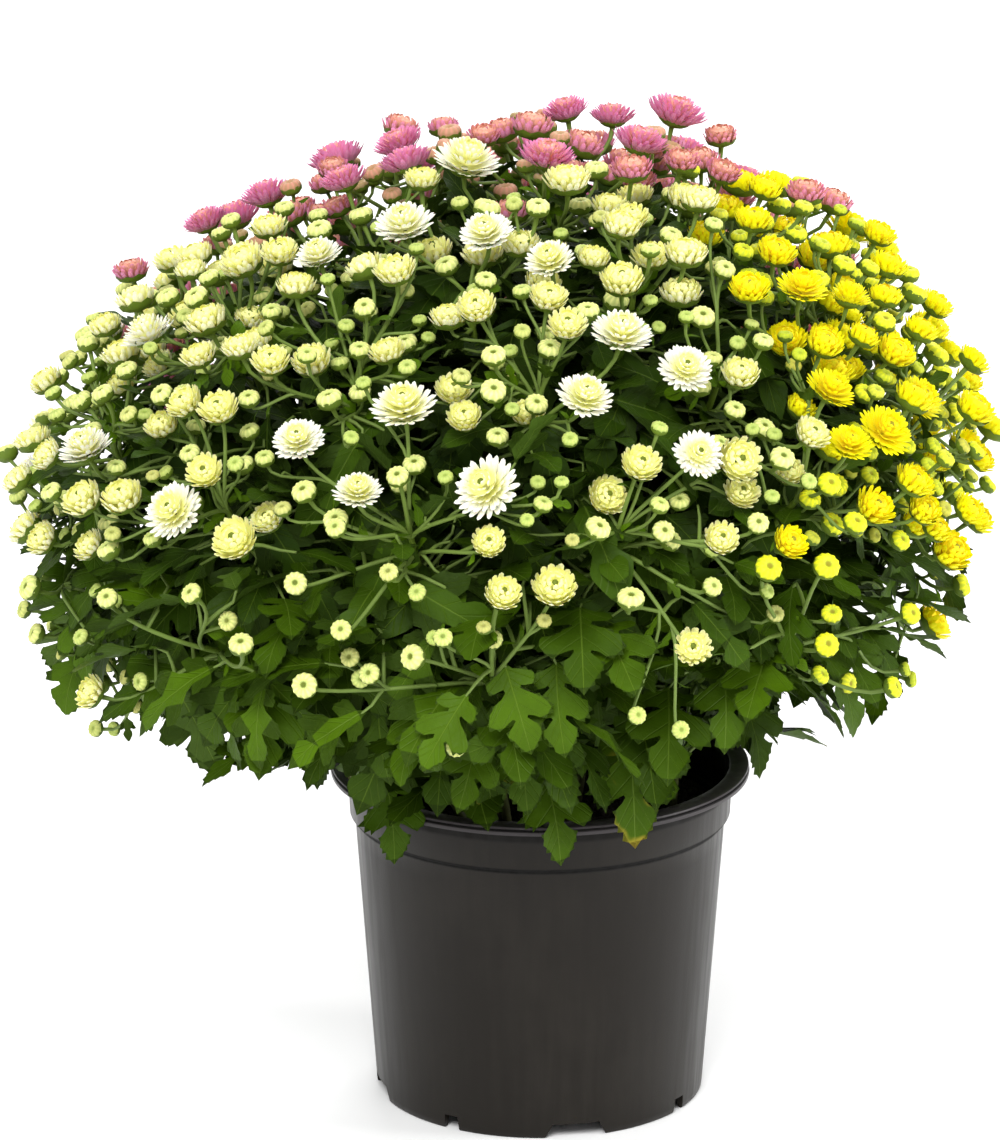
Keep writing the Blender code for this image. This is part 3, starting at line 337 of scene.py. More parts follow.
# The next two are the pot's painted highlight and its painted shade, which the lines below lay round the lip
# and the collar.
POT_PAINTED_HIGHLIGHT = (0.062, 0.055, 0.058)
POT_PAINTED_SHADE = (0.0012, 0.0010, 0.0008)
SOIL_DARK = (0.010, 0.007, 0.004)
SOIL_LIGHT = (0.040, 0.026, 0.016)
SOIL_FIBRE = (0.120, 0.085, 0.050)
PAPER_TONES = ((0.90, 0.90, 0.90), (0.93, 0.93, 0.93))

# Lines round the pot: painted highlights along the lip's edges, and painted shade in the lip's groove, under
# the lip and under the collar: height, half width, strength and colour.
POT_PAINTED_LINES = (
    (POT_HEIGHT - 0.0006, 0.0011, 0.85, POT_PAINTED_HIGHLIGHT),
    (POT_HEIGHT - 0.0036, 0.0018, 0.75, POT_PAINTED_HIGHLIGHT),
    (POT_HEIGHT - 0.0020, 0.0007, 0.90, POT_PAINTED_SHADE),
    (POT_HEIGHT - 0.0090, 0.0042, 0.65, POT_PAINTED_SHADE),
    (COLLAR_FOOT_Z - 0.0006, 0.0026, 0.95, POT_PAINTED_SHADE),
)

# Studio: each light's name, place, size and power, what they aim at, the even light round the object, the
# floor's place and corners, and the lens.
STUDIO_LIGHTS = (
    ("key", (-0.5, -2.7, 2.7), (1.6, 1.6), 118.0),
    ("fill", (3.0, -0.5, 1.0), (0.8, 2.2), 54.0),
    ("back", (0.4, 2.4, 2.2), (2.0, 1.2), 55.0),
)
LIGHT_AIM = Vector((0.0, 0.0, 0.28))
WORLD_STRENGTH = 0.80
FLOOR_DROP = 0.0002
FLOOR_CORNERS = ((-6, -6), (6, -6), (6, 14), (-6, 14))
LENS = 218.2
SENSOR_HEIGHT = 36.0


# Crown surface and front view


def crown_half(level):
    """How far the crown reaches above or below its widest level, and how boxy its outline is there."""
    return (CROWN_RISE, RISE_POWER) if level > 0 else (CROWN_FALL, FALL_POWER)


def crown_depth(point):
    """Less than 1 inside the crown, 1 on its surface."""
    level = point.z - CROWN_Z
    middle = CROWN_AT_X + CROWN_LEAN * max(level, 0.0) / CROWN_RISE
    flat = math.hypot((point.x - middle) / CROWN_HALF_WIDTH, point.y / CROWN_HALF_DEPTH)
    tall, power = crown_half(level)
    return flat ** power + (abs(level) / tall) ** power


def on_crown(polar, turn, depth=0.0):
    """Point of the crown at an angle from straight up and a turn from the front towards +X."""
    way = Vector((math.sin(polar) * math.sin(turn), -math.sin(polar) * math.cos(turn), math.cos(polar)))
    flat = math.hypot(way.x / CROWN_HALF_WIDTH, way.y / CROWN_HALF_DEPTH)
    tall, power = crown_half(way.z)
    reach = (flat ** power + (abs(way.z) / tall) ** power) ** (-1.0 / power)
    point = way * reach
    point.x += CROWN_AT_X + CROWN_LEAN * max(point.z, 0.0) / CROWN_RISE
    point.z += CROWN_Z
    return point - crown_normal(point) * depth


def crown_normal(point):
    """The way out of the crown, from how its depth changes over a small step."""
    step = 0.002
    here = crown_depth(point)
    slope = [crown_depth(point + axis * step) - here for axis in (Vector((1, 0, 0)), Vector((0, 1, 0)), UP)]
    return Vector(slope).normalized()


def behind_mark(across, up):
    """First point of the crown on the line of sight through a mark of the front view, in millimetres."""
    ahead = Vector((0.0, math.cos(EYE_PITCH), -math.sin(EYE_PITCH)))
    over = Vector((0.0, math.sin(EYE_PITCH), math.cos(EYE_PITCH)))
    sight = ahead * MARK_DISTANCE + over * (up / 1000 + MARK_ORIGIN[1])
    sight.x += across / 1000 + MARK_ORIGIN[0]
    sight.normalize()
    steps = [EYE + sight * (MARK_DISTANCE - SIGHT_START + SIGHT_STEP * i) for i in range(SIGHT_STEPS)]
    for point in steps:
        if crown_depth(point) < 1.0:
            return point
    return min(steps, key=crown_depth)


def colour_at(point):
    """Which of the three plants bears the flowers at a point of the crown."""
    border = PINK_FROM_Y
    if point.x < PINK_LEFT[0]:
        border += PINK_LEFT[1] * (point.x - PINK_LEFT[0])
    elif point.x > PINK_RIGHT[0]:
        border += PINK_RIGHT[1] * (point.x - PINK_RIGHT[0])
    if point.y > min(border, PINK_BACK_Y):
        return "pink"
    return "yellow" if point.x > YELLOW_FROM_X + YELLOW_SLOPE * (YELLOW_FROM_Y - point.y) else "white"


def spiral(index, count, fall, first=0, start=0.0):
    """Angle from straight up and turn of a place on an even golden spiral down the crown."""
    cosine = 1.0 - fall * (index - first + 0.5) / count
    return math.acos(cosine), index * math.pi * (3.0 - math.sqrt(5.0)) + start


# Room that has been taken, as spheres in a grid of cells


def cell_of(point, size):
    return tuple(math.floor(value / size) for value in point)


def near_cells(cells, point, size):
    """What lies in the grid's cells in and around the one that holds a point."""
    x, y, z = cell_of(point, size)
    for dx, dy, dz in itertools.product((-1, 0, 1), repeat=3):
        yield from cells.get((x + dx, y + dy, z + dz), ())


class Room:
    cell = 0.036

    def __init__(self):
        self.cells = {}

    def add(self, point, radius, owner=None):
        self.cells.setdefault(cell_of(point, self.cell), []).append((point, radius, owner))

    def free(self, point, radius, owners=()):
        """Whether a sphere touches none of the others, but for those of some owners."""
        for middle, size, owner in near_cells(self.cells, point, self.cell):
            if owner not in owners and (point - middle).length < radius + size:
                return False
        return True


# Heads


class Head:
    """A bloom, a half-open cup or a bud, by its middle, the way it faces and its width."""

    def __init__(self, colour, middle, axis, width):
        self.colour = colour
        self.middle = middle
        self.axis = axis
        self.width = width
        self.kind = "bud" if width < BUD_WIDTH else "cup" if width < CUP_WIDTH else "bloom"
        self.base = middle - axis * width * STAND[self.kind]


def head_axis(point, rng):
    """Heads face out of the crown and up, each a little askew."""
    jitter = Vector([rng.gauss(0, spread) for spread in HEAD_JITTER])
    return (crown_normal(point) * HEAD_OUT + UP * HEAD_UP + jitter).normalized()


def marked_heads(rng):
    for colour, marks in (("white", WHITE_MARKS), ("yellow", YELLOW_MARKS), ("pink", PINK_MARKS)):
        for across, up, width in marks:
            point = behind_mark(across, up)
            yield Head(colour, point, head_axis(point, rng), width / 1000)


def fullness(point):
    """0 at the crown's lowest heads and 1 where it is full of them. Both heights rise towards the front."""
    front = (max(0.0, -point.y) / CROWN_HALF_DEPTH) ** 2
    lowest = LOWEST_HEAD + (LOWEST_IN_FRONT - LOWEST_HEAD) * front
    full = FULL_FROM + FULL_IN_FRONT * front
    return (point.z - POT_HEIGHT - lowest) / (full - lowest)


def filling_head(index, rng):
    """A head of the even filling, fewer and smaller in the crown's skirt."""
    point = on_crown(*spiral(index, HEAD_TRIES, HEAD_FALL), rng.uniform(*FILLING_DEPTHS))
    draw, size = rng.random(), rng.random()
    axis = head_axis(point, rng)
    full = fullness(point)
    if rng.random() > 0.30 + 0.70 * max(0.0, full) ** 3 and full < 1.0 or full < 0.0:
        return None
    colour = colour_at(point)
    bloom, cup = KIND_SHARES[colour]
    if full < SKIRT_TOP:
        bloom, cup = bloom / 4, cup / 2
    kind = "bloom" if draw < bloom else "cup" if draw < bloom + cup else "bud"
    least, spread = FILLING_WIDTHS[kind]
    return Head(colour, point, axis, least + spread * size)


def place_heads(rng, room):
    """The marked heads, then those that fill the crown, each where it has room."""
    heads = []

    def put(head, reach):
        if room.free(head.middle, reach):
            room.add(head.middle, head.width / 2 + HEAD_GAP, ("head", len(heads)))
            heads.append(head)

    for head in marked_heads(rng):
        put(head, head.width * MARKED_SHARE)
    for index in range(HEAD_TRIES):
        head = filling_head(index, rng)
        if head:
            put(head, head.width / 2 + HEAD_GAP + FILLING_GAP)
    return heads


# Sprays and stems


class Spray:
    """A stalk that ends in a fan of pedicels with their heads."""

    def __init__(self, number, ring, turn, anchor):
        self.number = number
        self.ring = ring
        self.turn = turn
        self.anchor = anchor
        self.colour = colour_at(anchor)
        self.axis = (crown_normal(anchor) * 0.72 + UP * 0.36).normalized()
        self.foot = anchor - self.axis * SPRAY_DEPTH
        self.stem = None
        self.heads = []
        self.shoots = []
        self.end = None
        self.lines = []
        self.curves = []


def spray_anchors():
    number = 0
    for ring, (polar, count) in enumerate(SPRAY_RINGS):
        for k in range(count):
            turn = math.tau * (k + 0.5 * (ring % 2)) / count
            yield Spray(number, ring, turn, on_crown(math.radians(polar), turn))
            number += 1


def share_heads(heads, sprays):
    """Each head goes to the nearest spray of its colour that still has room."""
    most = SHOOTS_PER_NODE * len(SPRAY_NODES) + 1
    order = sorted(range(len(heads)), key=lambda i: -heads[i].width)
    for i in order:
        own = [s for s in sprays if s.colour == heads[i].colour]
        own.sort(key=lambda s: (s.anchor - heads[i].middle).length)
        for spray in own[:3]:
            if len(spray.heads) < most and (spray.anchor - heads[i].middle).length < SPRAY_REACH:
                spray.heads.append(i)
                break


def bezier(points, t):
    a, b, c, d = points
    s = 1.0 - t
    return a * s ** 3 + b * (3 * s * s * t) + c * (3 * s * t * t) + d * t ** 3


def bezier_way(points, t):
    return (bezier(points, min(t + 0.02, 1.0)) - bezier(points, max(t - 0.02, 0.0))).normalized()


class Tube:
    """One length of stem along a curve, with where it leaves the trunk and the leaves that it bears."""

    def __init__(self, curve, radii, at=0.0):
        self.curve = curve
        self.radii = radii
        self.at = at
        self.leaves = []

    def length(self):
        stops = [bezier(self.curve, i / 12) for i in range(13)]
        return sum((b - a).length for a, b in zip(stops, stops[1:]))

    def radius(self, t):
        return self.radii[0] + (self.radii[1] - self.radii[0]) * t

    def points(self, step, least, first):
        """Even places along the tube, as shares of its length with their points."""
        count = max(least, int(self.length() / step))
        return [(k / count, bezier(self.curve, k / count)) for k in range(first, count + 1)]


class Stem:
    """A trunk and its branches, which are the tubes, with the sprays that they end in."""

    def __init__(self, name, base, tubes, tier, sprays):
        self.name = name
        self.base = base
        self.tubes = tubes
        self.tier = tier
        self.sprays = sprays


def plane_way(turn):
    """The level way at a turn from the front towards +X."""
    return Vector((math.sin(turn), -math.cos(turn), 0.0))


def main_curve(base, spray):
    end = spray.foot - spray.axis * GAP
    reach = (end - base).length
    out = (end - base) * Vector((1, 1, 0))
    first = base + UP * (HOLE_DEPTH + 0.30 * reach) + out * 0.12
    return base, first, end - spray.axis * 0.33 * reach, end


def branch_curve(trunk, at, spray):
    start = bezier(trunk, at)
    end = spray.foot - spray.axis * GAP
    reach = (end - start).length
    way = (bezier_way(trunk, at) * 0.55 + (end - start).normalized() * 0.75).normalized()
    return start, start + way * 0.35 * reach, end - spray.axis * 0.33 * reach, end


def grouped(sprays, most):
    """Neighbouring sprays of one colour in groups of at most that many, going round from the pink side."""
    order = sorted(sprays, key=lambda s: (s.turn - math.radians(120)) % math.tau)
    groups = []
    for colour in ("pink", "white", "yellow"):
        own = [s for s in order if s.colour == colour]
        count = math.ceil(len(own) / most)
        for k in range(count):
            groups.append(own[len(own) * k // count:len(own) * (k + 1) // count])
    return groups


def mean_turn(sprays):
    total = sum((plane_way(s.turn) * (0.3 + s.ring) for s in sprays), Vector())
    return math.atan2(total.x, -total.y)


def plan_stem(name, group, tier):
    """A stem whose trunk ends in the group's middle spray and whose branches end in the others."""
    turn = mean_turn(group)
    base = plane_way(turn) * tier["start"]
    base.z = SOIL_Z - HOLE_DEPTH + GAP
    ranked = sorted(group, key=lambda s: (plane_way(s.turn) - plane_way(turn)).length)
    trunk = Tube(main_curve(base, ranked[0]), (STEM_RADIUS, STEM_TIP_RADIUS))
    tubes = [trunk]
    for k, spray in enumerate(ranked[1:]):
        at = FIRST_BRANCH + BRANCH_STEP * k
        tubes.append(Tube(branch_curve(trunk.curve, at, spray), (BRANCH_RADIUS, STEM_TIP_RADIUS), at))
    return Stem(name, base, tubes, tier, ranked)


def plan_stems(sprays):
    stems = []
    numbers = Counter()
    for tier in TIERS:
        for group in grouped([s for s in sprays if s.ring in tier["rings"]], tier["most"]):
            colour = group[0].colour
            numbers[colour] += 1
            stems.append(plan_stem(f"{colour}_stem_{numbers[colour]}", group, tier))
    for number, stem in enumerate(stems):
        for spray in stem.sprays:
            spray.stem = number
    return stems


def take_stem_room(stems, room):
    for number, stem in enumerate(stems):
        for tube in stem.tubes:
            for t, point in tube.points(WOOD_STEP, 1, 0):
                room.add(point, tube.radius(t) + 0.0005, ("stem", number))


def line_points(start, end):
    count = max(2, int((end - start).length / WOOD_STEP))
    return [start.lerp(end, i / count) for i in range(count + 1)]


def place_shoots(spray, heads, head_room, wood_room):
    """Picks the head that ends the stalk and shares the others between its nodes, but for blocked ones."""
    if not spray.heads:
        return
    stations = [spray.foot + spray.axis * (d + KNOB_RISE) for d in SPRAY_NODES]
    top = stations[-1]

    def aside(i):
        way = (heads[i].base - top).normalized()
        return 1.0 - way.dot(spray.axis)

    order = sorted(spray.heads, key=aside)
    spray.end = order[0]
    rest = order[:0:-1]
    lower = min(SHOOTS_PER_NODE, (len(rest) + 1) // 2)
    near, far = ("near", spray.number), ("far", spray.number)
    for point in line_points(spray.foot, top):
        wood_room.add(point, STALK_RADIUS, near)
    wanted = [(spray.end, len(stations) - 1)]
    wanted += [(i, 0) for i in rest[:lower]] + [(i, 1) for i in rest[lower:]]
    for i, station in wanted:
        start, end = stations[station], heads[i].base
        points = line_points(start, end)
        clear = (end - start).dot(spray.axis) > 0.004
        for point in points:
            own = (point - start).length < SHARED_LENGTH
            skip = (near, far, ("stem", spray.stem)) if own else (near,)
            clear = clear and wood_room.free(point, PEDICEL_RADIUS + 0.0006, skip)
            clear = clear and head_room.free(point, 0.0016, (("head", i),))
        if not clear:
            if i == spray.end:
                spray.end = None
            continue
        if i != spray.end:
            spray.shoots.append((i, station))
        for point in points:
            own = (point - start).length < SHARED_LENGTH
            wood_room.add(point, PEDICEL_RADIUS + 0.0004, near if own else far)


# Leaves


class Leaf:
    """A blade that starts at base and runs forward, drooping by an angle over its length."""

    def __init__(self, root, base, forward, up, length, droop):
        self.root = root
        self.base = base
        self.forward = forward
        self.side = forward.cross(up).normalized()
        self.up = self.side.cross(forward).normalized()
        self.length = length
        self.droop = droop

    def at(self, along, across, lift=0.0):
        angle = self.droop * along
        run = math.sin(angle) / self.droop
        fall = (1.0 - math.cos(angle)) / self.droop
        rise = LEAF_FOLD * abs(across) - fall
        normal = self.up * math.cos(angle) + self.forward * math.sin(angle)
        flat = self.forward * run + self.side * across + self.up * rise
        return self.base + flat * self.length + normal * lift

    def samples(self):
        """Spheres that stand for the petiole and the blade, as points and radii."""
        for share in (0.3, 0.5, 0.7, 0.9):
            yield self.root.lerp(self.base, share), 0.0020
        for along in (0.06, 0.24, 0.42, 0.60, 0.78, 0.95):
            half = 0.34 if 0.15 < along < 0.65 else 0.17 if along < 0.9 else 0.0
            for share in (-1.0, -0.5, 0.0, 0.5, 1.0):
                if half or share == 0.0:
                    yield self.at(along, half * share), LEAF_HALF

    def take(self, room, share=1.0):
        for point, size in self.samples():
            room.add(point, size * share)


def clear_of_pot(point):
    """Whether a leaf's point is over the rim, well outside the wall or well inside it."""
    out = math.hypot(point.x, point.y)
    if point.z > POT_HEIGHT + LEAF_OFF_RIM:
        return True
    if out > LIP_RADIUS + LEAF_OFF_WALL:
        return point.z > LOWEST_OUTSIDE
    return out < LEAF_INSIDE and point.z > SOIL_Z + 0.010


def leaf_clear(leaf, number, rooms):
    head_room, wood_room, leaf_room = rooms
    for point, size in leaf.samples():
        reach = (point - leaf.root).length
        own = (("stem", number),) if reach < 0.016 else ()
        if crown_depth(point) > 1.02 and point.z > POT_HEIGHT + 0.03:
            return False
        if not clear_of_pot(point) or not head_room.free(point, size):
            return False
        if not wood_room.free(point, size - 0.0008, own):
            return False
        if reach > 0.009 and not leaf_room.free(point, size):
            return False
    return True


def leaf_between(root, base, tip):
    """A leaf whose blade starts at base and whose drooping tip ends at a given point."""
    half = MARKED_DROOP / 2
    way = (tip - base).normalized()
    side = way.cross(UP)
    side = side.normalized() if side.length > 0.05 else Vector((1, 0, 0))
    forward = way * math.cos(half) + side.cross(way) * math.sin(half)
    length = (tip - base).length * half / math.sin(half)
    return Leaf(root, base, forward, side.cross(way), length, MARKED_DROOP)


def seen_point(across, up, front):
    """Point at a distance in front of the pot's axis that is seen at a mark beside the rim's centre."""
    rise = (up + front * math.sin(VIEW_SLOPE)) / math.cos(VIEW_SLOPE)
    return Vector((across / 1000, -front / 1000, POT_HEIGHT + rise / 1000))


def marked_leaves(stems, rooms):
    """Each leaf that stands out in the front view, on the nearest stem that it can grow from."""
    for ends in LEAF_MARKS:
        base, tip = (seen_point(*end) for end in ends)
        places = []
        for number, stem in enumerate(stems):
            for tube in stem.tubes:
                for t, root in tube.points(NODE_GAP, 3, 1)[:-1]:
                    if POT_HEIGHT - 0.006 < root.z < base.z + 0.012:
                        places.append(((root - base).length, number, tube, t, root))
        for _, number, tube, t, root in sorted(places, key=lambda place: place[0])[:24]:
            leaf = leaf_between(root, base, tip)
            if not too_close(stems[number], tube, t) and leaf_clear(leaf, number, rooms):
                tube.leaves.append((t, leaf))
                leaf.take(rooms[2])
                break


def too_close(stem, tube, t):
    """Whether a node at t would run into another node of the same tube."""
    others = [other for other, _ in tube.leaves]
    if tube is stem.tubes[0]:
        others += [branch.at for branch in stem.tubes[1:]]
    return any(0.0 < abs(t - other) * tube.length() < NODE_GAP for other in others)


def try_leaf(stem_number, tube, t, rooms, rng, low, hand):
    """A leaf at a place of the tube, on its left or right hand, in one of several poses that is free."""
    root = bezier(tube.curve, t)
    out = Vector((root.x, root.y, 0.0))
    out = out.normalized() if out.length > 0.01 else plane_way(rng.uniform(0, math.tau))
    side = Vector((-out.y, out.x, 0.0))
    for _ in range(LEAF_TRIES):
        swing = hand * rng.uniform(0.05, 1.25)
        lift, length, petiole = (rng.uniform(*ends) for ends in (LOW_LEAVES if low else HIGH_LEAVES))
        forward = (out * math.cos(swing) + side * math.sin(swing)) * math.cos(lift) + UP * math.sin(lift)
        roll = Vector((rng.uniform(-0.3, 0.3), rng.uniform(-0.3, 0.3), 1.0))
        base = root + (forward + UP * 0.35).normalized() * (petiole + tube.radius(t))
        leaf = Leaf(root, base, forward, roll, length, rng.uniform(0.35, 1.05))
        if leaf_clear(leaf, stem_number, rooms):
            return leaf
    return None


def place_leaves(stems, rooms, rng):
    """Leaves at even internodes along each tube above the rim, two to a node where there is room."""
    for number, stem in enumerate(stems):
        low = stem.tier["low"]
        left = stem.tier["leaves"]
        stops = []
        for tube in stem.tubes:
            length = tube.length()
            count = int(length * 0.78 / INTERNODE)
            stops += [(tube, 0.18 + 0.78 * (k + 0.5) / count) for k in range(count)]
        stops = [stop for stop in stops if bezier(stop[0].curve, stop[1]).z > POT_HEIGHT - 0.004]
        stops.sort(key=lambda stop: bezier(stop[0].curve, stop[1]).z, reverse=not low)
        for tube, t in stops:
            for hand in (-1, 1):
                if left <= 0 or too_close(stem, tube, t):
                    continue
                leaf = try_leaf(number, tube, t, rooms, rng, low, hand)
                if leaf:
                    tube.leaves.append((t, leaf))
                    leaf.take(rooms[2])
                    left -= 1


# Plain tools: meshes with named values on their points


class Shape:
    """Points and faces, with a value of each name at every point."""

    def __init__(self, *names):
        self.points = []
        self.faces = []
        self.values = {name: [] for name in names}

    def add(self, point, **values):
        self.points.append(tuple(point))
        for name, column in self.values.items():
            column.append(values.get(name, 0.0))
        return len(self.points) - 1

    def band(self, lower, upper):
        """Faces between two rings of points, either of which may be a single point."""
        count = max(len(lower), len(upper))
        for k in range(count):
            n = (k + 1) % count
            if len(lower) == 1:
                self.faces.append((lower[0], upper[n], upper[k]))
            elif len(upper) == 1:
                self.faces.append((lower[k], lower[n], upper[0]))
            else:
                self.faces.append((lower[k], lower[n], upper[n], upper[k]))

    def mesh(self, name):
        made = bpy.data.meshes.new(name)
        made.from_pydata(self.points, [], self.faces)
        for name, column in self.values.items():
            made.attributes.new(name, "FLOAT", "POINT").data.foreach_set("value", column)
        made.shade_smooth()
        return made


def placed(name, data):
    """A new object in the scene."""
    made = bpy.data.objects.new(name, data)
    bpy.context.scene.collection.objects.link(made)
    return made


def evaluated(made):
    """The plain mesh that an object's modifier makes. The object is then gone."""
    graph = bpy.context.evaluated_depsgraph_get()
    mesh = bpy.data.meshes.new_from_object(made.evaluated_get(graph), depsgraph=graph)
    bpy.data.objects.remove(made, do_unlink=True)
    return mesh


def mesh_of(bm, name):
    mesh = bpy.data.meshes.new(name)
    bm.to_mesh(mesh)
    bm.free()
    return mesh


def shapes_collection(name, shapes):
    """The shapes as objects that only the node trees see, in the order of their numbers."""
    collection = bpy.data.collections.new(name)
    for number, shape in enumerate(shapes):
        label = f"{name}_{number:02d}"
        collection.objects.link(bpy.data.objects.new(label, shape.mesh(label)))
    return collection


# Petals, heads and the green cups under them, in half widths, with the head's base at the origin


PETAL_VALUES = ("along", "across", "layer", "open")
PETAL_HOLLOW = 0.30
LONG_ROWS = (0.0, 0.38, 0.72, 0.93)
PLAIN_ROWS = (0.0, 0.45, 0.93)
SHORT_ROWS = (0.45, 0.93)

# Layers of petals, outermost first: number, the curve's control and end as (radius, height), width, height of
# the root, and rows of points. The inner ones arch over the middle.
FLAT_BLOOM = (
    (23, (0.66, 0.24), (1.02, 0.52), 0.20, 0.18, LONG_ROWS),
    (21, (0.62, 0.40), (0.90, 0.70), 0.20, 0.26, LONG_ROWS),
    (18, (0.56, 0.58), (0.72, 0.88), 0.20, 0.36, PLAIN_ROWS),
    (15, (0.52, 0.80), (0.53, 1.02), 0.20, 0.48, PLAIN_ROWS),
    (12, (0.46, 0.98), (0.34, 1.08), 0.19, 0.62, SHORT_ROWS),
    (9, (0.32, 1.06), (0.16, 1.08), 0.17, 0.76, SHORT_ROWS),
)
CONE_BLOOM = (
    (23, (0.76, 0.20), (1.02, 0.66), 0.22, 0.12, LONG_ROWS),
    (21, (0.70, 0.34), (0.94, 0.80), 0.22, 0.20, LONG_ROWS),
    (18, (0.62, 0.54), (0.78, 0.90), 0.22, 0.30, PLAIN_ROWS),
    (15, (0.55, 0.78), (0.58, 0.97), 0.22, 0.44, PLAIN_ROWS),
    (12, (0.48, 0.94), (0.36, 1.01), 0.21, 0.60, SHORT_ROWS),
    (9, (0.34, 1.01), (0.17, 1.00), 0.19, 0.74, SHORT_ROWS),
)
ROUND_CUP = (
    (15, (1.10, 0.20), (1.00, 0.88), 0.39, 0.10, PLAIN_ROWS),
    (14, (1.06, 0.40), (0.90, 1.02), 0.38, 0.22, PLAIN_ROWS),
    (12, (1.04, 0.80), (0.70, 1.14), 0.39, 0.40, PLAIN_ROWS),
    (10, (0.92, 1.10), (0.42, 1.21), 0.38, 0.62, SHORT_ROWS),
    (7, (0.62, 1.24), (0.19, 1.22), 0.33, 0.85, SHORT_ROWS),
)
WIDE_CUP = (
    (16, (1.02, 0.16), (1.08, 0.86), 0.36, 0.10, PLAIN_ROWS),
    (14, (0.98, 0.34), (0.98, 1.02), 0.36, 0.20, PLAIN_ROWS),
    (12, (0.98, 0.72), (0.78, 1.14), 0.39, 0.36, PLAIN_ROWS),
    (10, (0.92, 1.06), (0.48, 1.21), 0.39, 0.58, SHORT_ROWS),
    (7, (0.64, 1.24), (0.22, 1.22), 0.35, 0.82, SHORT_ROWS),
)

# Rings of a closed head from its foot into its dimple: radius, height, how much of the petals' tips shows,
# and how far inside the ring is.
BUD_RINGS = (
    (0.30, 0.10, 0.0, 0.0), (0.84, 0.34, 0.3, 0.0), (1.00, 0.72, 0.6, 0.0), (0.95, 1.04, 0.85, 0.0),
    (0.76, 1.25, 1.0, 0.1), (0.50, 1.31, 0.8, 0.6), (0.29, 1.19, 0.2, 1.03),
)
BUD_RIDGES = 12

# Green cups under blooms, half-open heads and buds, as rings of (radius, height).
GREEN_CUPS = (
    ((0.07, -0.02), (0.34, 0.06), (0.52, 0.18), (0.58, 0.34)),
    ((0.09, -0.03), (0.46, 0.05), (0.78, 0.20), (0.93, 0.46)),
    ((0.12, -0.03), (0.62, 0.08), (0.97, 0.40), (1.03, 0.80)),
)
CUP_SIDES = 16


def petal_width(t):
    """Share of a petal's greatest width at a share of its length."""
    if t < 0.7:
        return 0.40 + 0.60 * math.sin(t / 0.7 * math.pi / 2)
    return 1.0 - 7.2 * (t - 0.7) ** 2


def petal(shape, line, turn, width, layer, open_share, rows):
    """A narrow petal along a curved line of (radius, height) points, hollow across, with a pointed tip."""
    start, control, end = line
    out = Vector((math.cos(turn), math.sin(turn), 0.0))
    side = Vector((-out.y, out.x, 0.0))
    previous = None
    for t in rows:
        s = 1.0 - t
        radius = start[0] * s * s + 2 * control[0] * s * t + end[0] * t * t
        height = start[1] * s * s + 2 * control[1] * s * t + end[1] * t * t
        run = 2 * (control[0] - start[0]) * s + 2 * (end[0] - control[0]) * t
        rise = 2 * (control[1] - start[1]) * s + 2 * (end[1] - control[1]) * t
        lift = (UP * run - out * rise).normalized()
        half = width * petal_width(t) / 2
        middle = out * radius + UP * height
        row = []
        for share in (-1, 0, 1):
            point = middle + side * half * share + lift * PETAL_HOLLOW * half * abs(share)
            row.append(shape.add(point, along=t, across=share, layer=layer, open=open_share))
        if previous:
            for k in (0, 1):
                shape.faces.append((previous[k], row[k], row[k + 1], previous[k + 1]))
        previous = row
    last = shape.add(out * end[0] + UP * end[1], along=1.0, layer=layer, open=open_share)
    shape.faces.append((previous[0], last, previous[1]))
    shape.faces.append((previous[1], last, previous[2]))


def petalled_head(rng, layers, open_share, dimple):
    """A head of layered petals with a dimple, as (radius, height), in the middle."""
    shape = Shape(*PETAL_VALUES)
    for number, (count, control, end, width, low, rows) in enumerate(layers):
        layer = number / (len(layers) - 1)
        phase = rng.uniform(0, math.tau)
        for k in range(count):
            turn = phase + math.tau * (k + rng.uniform(-0.20, 0.20)) / count
            long = rng.uniform(0.93, 1.05)
            tip = (end[0] * long, end[1] + rng.uniform(-0.05, 0.05))
            bend = (control[0] * rng.uniform(0.96, 1.04), control[1] + rng.uniform(-0.04, 0.04))
            wide = width * rng.uniform(0.88, 1.12)
            petal(shape, ((0.10, low), bend, tip), turn, wide, layer, open_share, rows)
    button(shape, dimple[0], dimple[1], open_share, 6)
    return shape


def button(shape, radius, height, open_share, sides):
    """A low button that closes the middle of a head."""
    rings = []
    for share, rise in ((1.0, -0.06), (0.55, 0.0)):
        ring = []
        for k in range(sides):
            turn = math.tau * (k + 0.5 * len(rings)) / sides
            point = (radius * share * math.cos(turn), radius * share * math.sin(turn), height + rise)
            ring.append(shape.add(point, along=0.15, layer=1.3, open=open_share))
        rings.append(ring)
    top = shape.add((0, 0, height - 0.03), along=0.0, layer=1.5, open=open_share)
    shape.band(*rings)
    shape.band(rings[1], [top])


def bud_shape(rng):
    """A closed head: petals folded into a ribbed ball with a dimple on top."""
    shape = Shape(*PETAL_VALUES)
    sides = 2 * BUD_RIDGES
    rings = []
    for number, (radius, height, shown, inward) in enumerate(BUD_RINGS):
        ring = []
        for k in range(sides):
            turn = math.tau * (k + 0.35 * number / 3) / sides
            groove = 0.0 if k % 2 else min(1.0, number / 3)
            reach = radius * (1.0 - 0.065 * groove) * rng.uniform(0.985, 1.015)
            level = height - 0.05 * groove + 0.03 * rng.random()
            point = (reach * math.cos(turn), reach * math.sin(turn), level)
            ring.append(shape.add(point, along=shown - 0.5 * groove, layer=inward))
        rings.append(ring)
    rings.append([shape.add((0, 0, 0.98), layer=1.5)])
    for lower, upper in zip(rings, rings[1:]):
        shape.band(lower, upper)
    return shape


